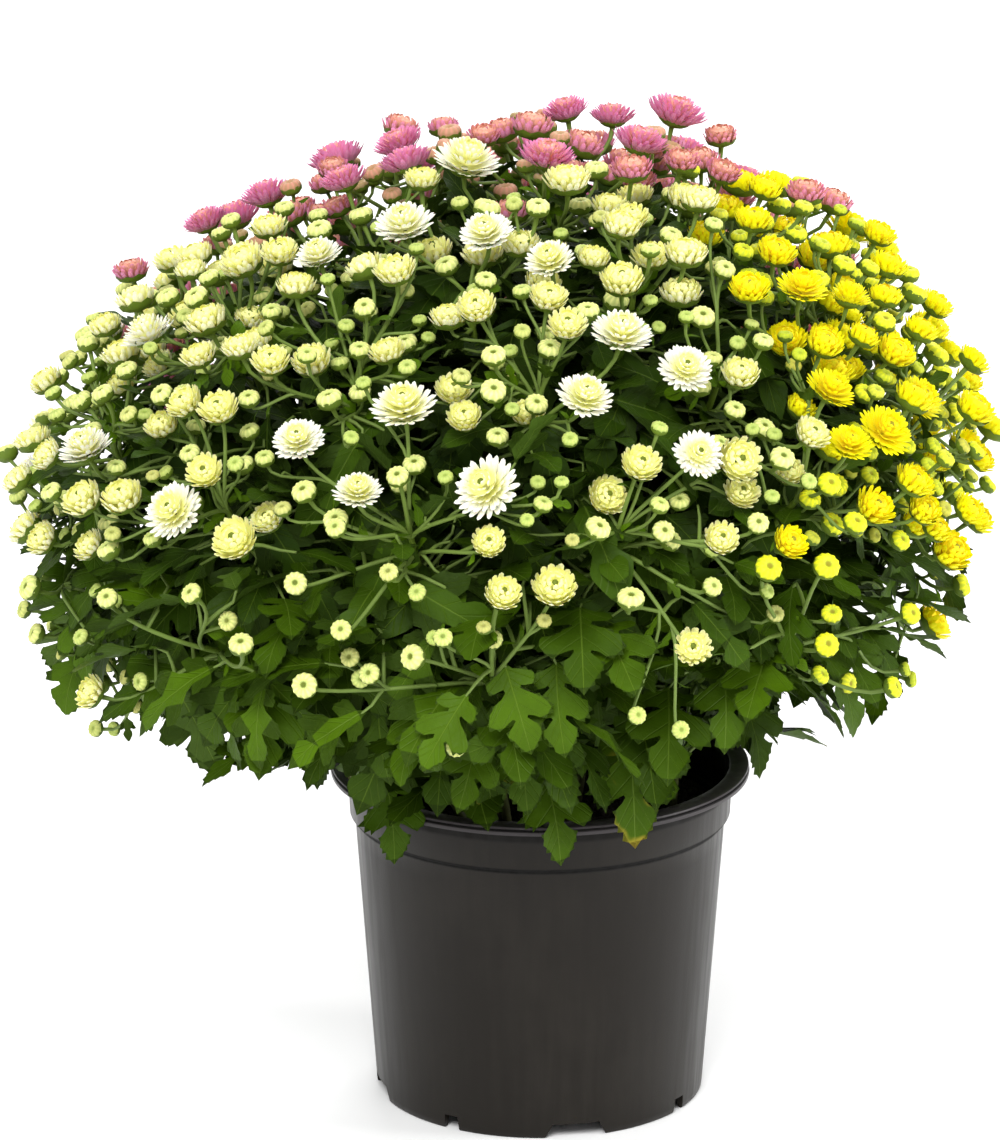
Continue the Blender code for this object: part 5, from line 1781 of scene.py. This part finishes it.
def best_fork(sprays, head, head_room):
    """The spray and the side shoot that reach the head with the least bend, past no other head."""
    best, least = None, math.inf
    forks = [(spray, curve, t) for spray in sprays for curve in spray.curves for t in FORKS]
    for spray, curve, t in forks:
        start, way = bezier(curve, t), bezier_way(curve, t)
        gap = head.base - start
        bend = 1.0 - gap.normalized().dot(way)
        cost = gap.length * (1.0 + 2.0 * bend)
        if not FORK_REACH[0] < gap.length < FORK_REACH[1] or bend > FORK_BEND or cost >= least:
            continue
        shoot = pedicel(start, (way * 0.6 + gap.normalized() * 0.5).normalized(), head)
        if all(head_room.free(bezier(shoot, share), PEDICEL_RADIUS) for share in SHOOT_CHECKS):
            best, least = (spray, shoot), cost
    return best


# Leaves that fill the crown between the stems


class Filler:
    """A leaf that is added to the planned ones: its blade, the piece that bears it and its shape."""

    def __init__(self, leaf, owner, form):
        self.leaf = leaf
        self.owner = owner
        self.form = form


def wood_points(stems, sprays):
    """Points of the stems and stalks that a leaf can grow from, in a grid of cells."""
    spots = {}

    def put(point, owner):
        spots.setdefault(cell_of(point, WOOD_CELL), []).append((point, owner))

    for number, stem in enumerate(stems):
        for tube in stem.tubes:
            for _, point in tube.points(WOOD_SPACING, 4, 2):
                if point.z > POT_HEIGHT - WOOD_UNDER_RIM:
                    put(point, ("stem", number))
    for spray in sprays:
        for curve in spray.curves:
            for t in PEDICEL_SPOTS:
                put(bezier(curve, t), ("spray", spray.number))
    return spots


def nearest_wood(spots, point):
    """The nearest wood from which a petiole reaches a leaf's base, as its point and owner."""
    shortest, reach = PETIOLE_REACH
    found = None
    for spot, owner in near_cells(spots, point, WOOD_CELL):
        gap = (spot - point).length
        if shortest < gap < reach and spot.z < point.z + WOOD_OVER_LEAF:
            found, reach = (spot, owner), gap
    return found


def filler_leaf(root, base, deep, low, rng):
    """A leaf in one of the poses that suit its place, or none where it would stand on its edge."""
    out = crown_normal(base)
    jitter = Vector([rng.gauss(0, spread) for spread in FILLER_JITTER])
    if deep:
        forward = (out * 0.25 - UP * 0.45 + jitter).normalized()
        roll = out + jitter * 0.5
        length = rng.uniform(*DEEP_LENGTHS)
    else:
        rise = UP * (0.05 if low else 0.25)
        forward = (out * 0.8 + (base - root).normalized() * 0.5 + rise + jitter).normalized()
        roll = UP + Vector((rng.uniform(-0.5, 0.5), rng.uniform(-0.5, 0.5), 0.0))
        length = rng.uniform(*(LOW_LENGTHS if low else HIGH_LENGTHS))
    if abs(forward.dot(roll.normalized())) > 0.93:
        return None
    return Leaf(root, base, forward, roll, length, rng.uniform(0.4, 1.0))


def filling_leaves(stems, sprays, head_room, leaf_room, rng):
    """Leaves in the free room under the flowers, and broad ones deeper in that close the view."""
    spots = wood_points(stems, sprays)
    fillers = []
    for index in range(FILLER_TRIES + DEEP_TRIES):
        deep = index >= FILLER_TRIES
        first, count = (FILLER_TRIES, DEEP_TRIES) if deep else (0, FILLER_TRIES)
        depths = DEEP_DEPTHS if deep else OUTER_DEPTHS if index % 3 == 0 else INNER_DEPTHS
        base = on_crown(*spiral(index, count, LEAF_FALL, first), rng.uniform(*depths))
        wood = nearest_wood(spots, base)
        if wood is None:
            continue
        root, owner = wood
        low = base.z < POT_HEIGHT + LOW_TO
        form = "large" if low and not deep and rng.random() < LARGE_SHARE else "plain" if low else "small"
        if not low and not deep and base.z > POT_HEIGHT + TOP_FROM and crown_depth(base) > TOP_DEPTH:
            continue
        for _ in range(DEEP_POSES if deep else POSES):
            leaf = filler_leaf(root, base, deep, low, rng)
            if leaf and filler_fits(leaf, head_room, None if deep else leaf_room):
                if not deep:
                    leaf.take(leaf_room, FILLER_ROOM)
                fillers.append(Filler(leaf, owner, form))
                break
    return fillers


def hangs_low(point):
    """How much lower a leaf's point hangs than in the front view, where the rim's ends are bare."""
    if point.y > FRONT_TO_Y:
        return 0.0
    limit = LOWEST_RIGHT if point.x > RIGHT_FROM_X else LOWEST_LEFT if point.x < LEFT_FROM_X else LOWEST_LEAF
    seen = (point.z - POT_HEIGHT) * math.cos(VIEW_SLOPE) + point.y * math.sin(VIEW_SLOPE)
    return max(0.0, limit - seen)


def rehang(stems, sprays, leaf_room):
    """Hangs a planned leaf at each mark that stayed bare, and lifts the others that hang too low in front."""
    spots = wood_points(stems, sprays)
    tips = [seen_point(*tip) for _, tip in LEAF_MARKS]
    planned = [(tube, k) for stem in stems for tube in stem.tubes for k in range(len(tube.leaves))]

    def unmarked(leaf):
        return min((leaf.at(1.0, 0.0) - tip).length for tip in tips) > AT_MARK

    for number in BARE_MARKS:
        base, tip = (seen_point(*end) for end in LEAF_MARKS[number])
        free = [(tube, k) for tube, k in planned if unmarked(tube.leaves[k][1])]
        tube, k = min(free, key=lambda place: (place[0].leaves[place[1]][1].base - base).length)
        t, leaf = tube.leaves[k]
        wood = nearest_wood(spots, base)
        tube.leaves[k] = (t, leaf_between(wood[0] if wood else leaf.root, base, tip))
    for tube, k in planned:
        leaf = tube.leaves[k][1]
        if unmarked(leaf):
            lift = max(hangs_low(point) for point, _ in leaf.samples())
            leaf.base = leaf.base + UP * lift / math.cos(VIEW_SLOPE)
        leaf.take(leaf_room, FILLER_ROOM)


def filler_fits(leaf, head_room, leaf_room):
    """Whether the blade keeps inside the crown and clear of the pot, the heads and other leaves."""
    for point, _ in itertools.islice(leaf.samples(), 4, None):
        if hangs_low(point) or not clear_of_pot(point):
            return False
        if crown_depth(point) > (1.0 if point.z > POT_HEIGHT + 0.12 else 1.06):
            return False
        if not head_room.free(point, FILLER_GAP) or leaf_room and not leaf_room.free(point, FILLER_GAP):
            return False
    return True


def leaf_axes(leaf):
    return leaf.forward, -leaf.side, leaf.up


def leaf_pick(leaf, form, rng):
    """The number of the leaf shape of this form whose droop is nearest."""
    droop = min(range(len(DROOPS)), key=lambda k: abs(DROOPS[k] - leaf.droop))
    if form == "large" and rng.random() < 0.22:
        form = "round"
    return list(LEAF_FORMS).index(form) * len(DROOPS) + droop


def leaf_shapes(rng):
    shapes = [leaf_shape(*form, droop, rng) for form in LEAF_FORMS.values() for droop in DROOPS]
    return shapes + [leaf_shape(BRACT_OUTLINE, LEAF_THICK * 3.0, False, BRACT_DROOP, rng)]


def petiole_line(leaf):
    """The leaf's own stalk: from the stem, up and over into the rib."""
    reach = (leaf.base - leaf.root).length
    way = (leaf.base - leaf.root).normalized()
    curve = (
        leaf.root, leaf.root + (way + UP * 0.35) * 0.34 * reach,
        leaf.base - leaf.forward * 0.34 * reach, leaf.base + leaf.forward * 0.0025,
    )
    return line_along(curve, 0.0013, 0.0007, 3)


def add_leaf(places, leaf, form, rng):
    """Notes a leaf's place and its finish: painted shade deep inside the crown and higher up, painted light
    on leaves low in front, and a random tone in each.
    """
    depth = crown_depth(leaf.base)
    front = max(0.0, -leaf.base.y) / CROWN_HALF_DEPTH
    low = 1.0 if leaf.base.z < POT_HEIGHT + 0.10 else max(0.0, 1.0 - (leaf.base.z - POT_HEIGHT - 0.10) / 0.10)
    # Painted light: leaves low and in front get a brighter tint, besides a random tone.
    tint = min(0.60, max(0.0, 0.22 + 0.55 * low * (0.4 + 0.6 * front) + rng.uniform(-0.17, 0.24)))
    # Painted shade: leaves deep in the crown and higher up are darker.
    shade = min(0.9, max(0.0, 0.95 - depth + 0.20 * (1.0 - low) + rng.uniform(-0.1, 0.15)))
    worn = 0.82 * max(0.0, rng.random() - 0.45) / 0.55 if leaf.base.z < POT_HEIGHT + 0.06 else 0.0
    worn *= 1.0 if math.hypot(leaf.base.x, leaf.base.y) < LIP_RADIUS + 0.020 else 0.75
    places.add(leaf.base, leaf_axes(leaf), leaf.length, leaf_pick(leaf, form, rng), tint, shade, worn)


# Pieces


def build_sprays(heads, sprays, side, fillers, head_room, finishes):
    rng = random.Random(SEED + 2)
    heads_made = shapes_collection("head", head_shapes(rng))
    cups_made = shapes_collection("cup", [green_cup(profile, rng) for profile in GREEN_CUPS])
    leaves_made = shapes_collection("bract", leaf_shapes(rng))
    numbers = Counter()
    for spray in sprays:
        numbers[spray.colour] += 1
        node = f"{spray.colour}_spray_{numbers[spray.colour]}"
        petals, cups, leaves = Places(), Places(), Places()
        borne = [heads[i] for i, _ in spray.shoots] + ([heads[spray.end]] if spray.end is not None else [])
        borne += [head for head, _ in side[spray.number]]
        shoots = [curve for _, curve in side[spray.number]]
        thin = [line_along(curve, 0.0010, 0.00085, 6, 0.0004) for curve in shoots]
        for head in borne:
            axes = axes_along(head.axis, rng.uniform(0, math.tau))
            size = head.width * HEAD_SCALE[head.kind] / 2
            young = min(0.8, max(0.0, (YOUNG_WIDTH - head.width) / YOUNG_SPREAD))
            petals.add(head.base, axes, size, head_pick(head, rng), rng.random(), young)
            cups.add(head.base, axes, size, ("bloom", "cup", "bud").index(head.kind))
        for curve in spray.curves + shoots:
            add_bracts(leaves, curve, head_room, rng)
        add_fillers(leaves, thin, fillers, ("spray", spray.number), rng)
        flowers = petals.set(node + "_petals", heads_made, finishes[spray.colour])
        add_piece(node + "_petals", flowers, [node])
        green = joined([
            tubes(node, spray.lines, 6, finishes["stalk"]),
            tubes(node + "_thin", thin, 5, finishes["stalk"]),
            cups.set(node, cups_made, finishes["stalk"]),
            leaves.set(node, leaves_made, finishes["leaf"]),
        ])
        add_piece(node + "_stalks", green, [node])


def add_fillers(places, thin, fillers, owner, rng):
    """The added leaves that one stem or spray bears, with their petioles."""
    for filler in fillers:
        if filler.owner == owner:
            add_leaf(places, filler.leaf, filler.form, rng)
            thin.append(petiole_line(filler.leaf))


def add_bracts(leaves, curve, head_room, rng):
    """Small leaves at the root of a pedicel and part of the way along it, where no head is in the way."""
    for t, chance in BRACTS:
        if rng.random() > chance:
            continue
        point, way = bezier(curve, t), bezier_way(curve, t)
        out, _, _ = axes_along(way, rng.uniform(0, math.tau))
        forward = (way * 0.75 + out * rng.uniform(0.4, 0.9)).normalized()
        up = forward.cross(way).normalized().cross(forward)
        size = rng.uniform(0.008, 0.015) if t > 0.1 else rng.uniform(0.012, 0.024)
        pick = BRACT_PICK if size < 0.014 else SMALL_PICK + rng.randrange(len(DROOPS))
        tint = rng.uniform(0.3, 0.8)
        if all(head_room.free(point + forward * size * share, 0.0010) for share in (0.4, 0.7, 1.0)):
            leaves.add(point, (forward, up.cross(forward), up), size, pick, tint)


def build_stems(stems, fillers, finishes):
    rng = random.Random(SEED + 3)
    leaves_made = shapes_collection("leaf", leaf_shapes(rng))
    for number, stem in enumerate(stems):
        lines, thin, places = [], [], Places()
        for tube in stem.tubes:
            start, end = tube.radii
            lines.append(line_along(tube.curve, start * 0.95, end, max(8, int(tube.length() / 0.009))))
            for _, leaf in tube.leaves:
                add_leaf(places, leaf, "large", rng)
                thin.append(petiole_line(leaf))
        lines[0][0] = (stem.base, STEM_RADIUS)
        add_fillers(places, thin, fillers, ("stem", number), rng)
        green = joined([
            tubes(stem.name, lines, 8, finishes["stalk"]),
            tubes(stem.name + "_thin", thin, 5, finishes["stalk"]),
            places.set(stem.name, leaves_made, finishes["leaf"]),
        ])
        add_piece(stem.name + "_leafy", green, [stem.name])


def lathe(profile, sides, name):
    """A line of (radius, height) points turned round the Z axis, closed at the axis."""
    shape = Shape()
    rings = []
    for radius, height in profile:
        turns = [math.tau * k / sides for k in range(sides)] if radius else [0.0]
        points = [(radius * math.cos(turn), radius * math.sin(turn), height) for turn in turns]
        rings.append([shape.add(point) for point in points])
    for lower, upper in zip(rings, rings[1:]):
        shape.band(lower, upper)
    return shape.mesh(name)


def outward(mesh):
    """Welds a turned mesh and faces it outwards."""
    bm = bmesh.new()
    bm.from_mesh(mesh)
    bmesh.ops.remove_doubles(bm, verts=bm.verts, dist=0.00001)
    bmesh.ops.recalc_face_normals(bm, faces=bm.faces)
    bm.to_mesh(mesh)
    bm.free()


def build_pot(finish):
    inside = BASE_RADIUS - WALL
    ledge = POT_HEIGHT - LIP_DROP
    profile = (
        (0.0, FLOOR_Z + FLOOR_THICK),
        (inside - 0.004, FLOOR_Z + FLOOR_THICK),
        (inside - 0.002, FLOOR_Z + FLOOR_THICK + 0.001),
        (BODY_TOP_RADIUS - WALL, COLLAR_FOOT_Z - 0.001),
        (COLLAR_FOOT_RADIUS - WALL, COLLAR_FOOT_Z + 0.002),
        (COLLAR_TOP_RADIUS - WALL, POT_HEIGHT - 0.0022),
        (COLLAR_TOP_RADIUS - WALL + 0.0004, POT_HEIGHT - 0.0006),
        (COLLAR_TOP_RADIUS - WALL + 0.0014, POT_HEIGHT),
        (LIP_RADIUS - 0.0016, POT_HEIGHT),
        (LIP_RADIUS - 0.0007, POT_HEIGHT - 0.0003),
        (LIP_RADIUS - 0.0004, POT_HEIGHT - 0.0010),
        (LIP_RADIUS - 0.0011, POT_HEIGHT - 0.0017),
        (LIP_RADIUS - 0.0011, POT_HEIGHT - 0.0022),
        (LIP_RADIUS - 0.0002, POT_HEIGHT - 0.0029),
        (LIP_RADIUS, ledge + 0.0010),
        (LIP_RADIUS - 0.0002, ledge + 0.0002),
        (LIP_RADIUS - 0.0008, ledge),
        (LIP_RADIUS - 0.0017, ledge + 0.0004),
        (LIP_RADIUS - 0.0022, POT_HEIGHT - WALL - 0.0004),
        (COLLAR_TOP_RADIUS + 0.0014, POT_HEIGHT - WALL - 0.0006),
        (COLLAR_TOP_RADIUS + 0.0002, POT_HEIGHT - WALL - 0.0018),
        (COLLAR_TOP_RADIUS, POT_HEIGHT - 0.0065),
        (COLLAR_FOOT_RADIUS, COLLAR_FOOT_Z + 0.0012),
        (COLLAR_FOOT_RADIUS - 0.0006, COLLAR_FOOT_Z + 0.0002),
        (BODY_TOP_RADIUS + 0.0008, COLLAR_FOOT_Z - 0.0006),
        (BODY_TOP_RADIUS, COLLAR_FOOT_Z - 0.0020),
        (BODY_TOP_RADIUS - 0.0006, COLLAR_FOOT_Z - 0.012),
        (BASE_RADIUS + 0.0004, 0.004),
        (BASE_RADIUS, 0.0008),
        (BASE_RADIUS - 0.0008, 0.0),
        (BASE_RADIUS - 0.0024, 0.0),
        (BASE_RADIUS - 0.0030, 0.0008),
        (inside - 0.003, FLOOR_Z),
        (0.0, FLOOR_Z),
    )
    mesh = lathe(profile, POT_STEPS, "pot_look")
    outward(mesh)
    made = placed("pot_look", mesh)
    cutter = placed("pot_cuts", pot_cuts())
    cut = made.modifiers.new("cut", "BOOLEAN")
    cut.operation = "DIFFERENCE"
    cut.object = cutter
    mesh = evaluated(made)
    bpy.data.objects.remove(cutter, do_unlink=True)
    mesh.shade_smooth()
    mesh.set_sharp_from_angle(angle=math.radians(38))
    add_piece("moulded_pot", mesh, ["pot"], finish)


def pot_cuts():
    """The notches through the foot and the holes through the floor."""
    bm = bmesh.new()
    for quarter in range(4):
        turn = math.radians(NOTCH_TURN + 90 * quarter)
        between = turn - math.radians(45)
        notch(bm, turn, WIDE_NOTCH)
        notch(bm, between, NARROW_NOTCH)
        post(bm, plane_way(between) * DRAIN_RING)
    post(bm, Vector())
    bmesh.ops.recalc_face_normals(bm, faces=bm.faces)
    return mesh_of(bm, "pot_cuts")


def prism(bm, lower, upper):
    """A solid between two rings of points."""
    lower, upper = ([bm.verts.new(point) for point in ring] for ring in (lower, upper))
    bm.faces.new(lower[::-1])
    bm.faces.new(upper)
    for k in range(len(lower)):
        n = (k + 1) % len(lower)
        bm.faces.new((lower[k], lower[n], upper[n], upper[k]))


def notch(bm, turn, widths):
    """A wedge through the foot of the pot's wall, wider at the ground."""
    out = plane_way(turn)
    side = Vector((-out.y, out.x, 0.0))
    wide, narrow = (0.5 * width for width in widths)
    low, high = -0.002, FLOOR_Z - 0.001
    corners = ((-wide, low), (wide, low), (narrow, high), (-narrow, high))
    rings = [
        [out * reach + side * across + UP * height for across, height in corners]
        for reach in (BASE_RADIUS - 0.016, BASE_RADIUS + 0.010)
    ]
    prism(bm, *rings)


def post(bm, middle, sides=20):
    """A round hole through the floor."""
    ways = [plane_way(math.tau * k / sides) * DRAIN_RADIUS for k in range(sides)]
    rings = [[middle + UP * height + way for way in ways] for height in (FLOOR_Z - 0.004, FLOOR_Z + 0.006)]
    prism(bm, *rings)


def soil_height(x, y):
    """Height of the soil's uneven top, which is low and smooth at the wall."""
    out = math.hypot(x, y) / BODY_TOP_RADIUS
    rough = noise.noise(Vector((x, y, 0.0)) * 90) * 0.0026 + noise.noise(Vector((x, y, 0.3)) * 320) * 0.0012
    return SOIL_Z + SOIL_CROWN * (1 - out) - 0.0035 * out ** 8 + rough * (1 - 0.6 * out)


def build_soil(finish):
    """The filling of the pot with its uneven top, and the crumbs that lie on it."""
    reach = BODY_TOP_RADIUS - WALL - 0.0010
    low = FLOOR_Z + FLOOR_THICK + 2 * GAP
    profile = [(reach * k / SOIL_RINGS, SOIL_Z) for k in range(SOIL_RINGS + 1)]
    profile += [(BASE_RADIUS - WALL - 0.0027, low), (0.0, low)]
    mesh = lathe(profile, SOIL_SIDES, "soil_look")
    for vert in mesh.vertices:
        if vert.co.z > SOIL_Z - 0.001:
            vert.co.z = soil_height(vert.co.x, vert.co.y) - 0.001
    outward(mesh)
    add_piece("potting_mix", mesh, ["soil"], finish)
    rng = random.Random(SEED + 4)
    places = Places()
    for _ in range(CRUMBS):
        out = (reach - 0.005) * math.sqrt(rng.random())
        turn = rng.uniform(0, math.tau)
        x, y = out * math.cos(turn), out * math.sin(turn)
        size = rng.choice(CRUMB_SIZES)
        way = Vector((rng.gauss(0, 1), rng.gauss(0, 1), rng.gauss(0, 1))).normalized()
        axes = axes_along(way, rng.uniform(0, 6))
        places.add((x, y, soil_height(x, y) + size * 0.1), axes, size, rng.randrange(CRUMB_FORMS))
    shapes = [crumb_shape(rng) for _ in range(CRUMB_FORMS)]
    crumbs = places.set("crumbs", shapes_collection("crumb", shapes), finish)
    add_piece("soil_crumbs", crumbs, ["soil"])


def crumb_shape(rng):
    """A bit of bark or peat: a lump with one side longer than the others."""
    shape = Shape()
    bm = bmesh.new()
    bmesh.ops.create_icosphere(bm, subdivisions=1, radius=1.0)
    long = Vector((rng.uniform(1.1, 1.9), rng.uniform(0.7, 1.0), rng.uniform(0.5, 0.9)))
    for vert in bm.verts:
        shape.add(vert.co * long * rng.uniform(0.8, 1.2))
    for face in bm.faces:
        shape.faces.append(tuple(vert.index for vert in face.verts))
    bm.free()
    return shape


# Studio


def build_studio():
    mesh = bpy.data.meshes.new("floor")
    mesh.from_pydata([(x, y, 0.0) for x, y in FLOOR_CORNERS], [], [(0, 1, 2, 3)])
    mesh.materials.append(paper_material())
    floor = placed("floor", mesh)
    floor.location.z = -FLOOR_DROP
    floor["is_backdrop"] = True
    for name, spot, size, power in STUDIO_LIGHTS:
        light = bpy.data.lights.new(name, "AREA")
        light.shape = "RECTANGLE"
        light.size, light.size_y = size
        light.energy = power
        made = placed(name, light)
        made.location = spot
        made.rotation_euler = (LIGHT_AIM - Vector(spot)).to_track_quat("-Z", "Y").to_euler()
    world = bpy.data.worlds.new("studio")
    world.use_nodes = True
    background = world.node_tree.nodes["Background"]
    background.inputs["Color"].default_value = (1.0, 1.0, 1.0, 1.0)
    background.inputs["Strength"].default_value = WORLD_STRENGTH
    bpy.context.scene.world = world
    bpy.context.scene.view_settings.view_transform = "Standard"


def build_camera():
    camera = bpy.data.cameras.new("front_view")
    camera.lens = LENS
    camera.sensor_fit = "VERTICAL"
    camera.sensor_height = SENSOR_HEIGHT
    made = placed("front_view", camera)
    made.location = EYE + POT_AT
    made.rotation_euler = Euler((math.radians(90) - EYE_PITCH, 0.0, 0.0))
    bpy.context.scene.camera = made


def plan_looks():
    """The same plan that the solids follow, with further buds and leaves in the room that it leaves free."""
    rng = random.Random(SEED)
    head_room, wood_room, leaf_room = rooms = Room(), Room(), Room()
    heads = place_heads(rng, head_room)
    sprays = list(spray_anchors())
    share_heads(heads, sprays)
    stems = plan_stems(sprays)
    take_stem_room(stems, wood_room)
    for spray in sprays:
        place_shoots(spray, heads, head_room, wood_room)
    marked_leaves(stems, rooms)
    place_leaves(stems, rooms, rng)
    for spray in sprays:
        plan_lines(spray, heads)
    rehang(stems, sprays, leaf_room)
    extra = random.Random(SEED + 1)
    side = side_heads(sprays, head_room, extra)
    fillers = filling_leaves(stems, sprays, head_room, leaf_room, extra)
    return heads, sprays, stems, side, fillers, head_room


def corners(box):
    return [list(corner) for corner in box]


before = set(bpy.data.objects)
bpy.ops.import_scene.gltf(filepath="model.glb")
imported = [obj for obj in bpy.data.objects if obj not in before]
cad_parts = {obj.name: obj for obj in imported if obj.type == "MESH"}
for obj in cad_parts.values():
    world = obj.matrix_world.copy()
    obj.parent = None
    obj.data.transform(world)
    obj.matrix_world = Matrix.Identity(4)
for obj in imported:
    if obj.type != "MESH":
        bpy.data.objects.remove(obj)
cad_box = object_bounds()
build_camera()
build_studio()
SET_ON_POINTS = set_on_points_tree()
TUBES = tubes_tree()
MOTTLE = mottle_group()
VEINS = vein_group()
finishes = {colour: petal_material(colour) for colour in PETAL_LOOKS}
finishes["leaf"] = leaf_material()
finishes["stalk"] = stalk_material()
heads, sprays, stems, side, fillers, head_room = plan_looks()
build_pot(pot_material())
build_soil(soil_material())
build_stems(stems, fillers, finishes)
build_sprays(heads, sprays, side, fillers, head_room, finishes)
{"cad": corners(cad_box), "visual": corners(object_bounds())}
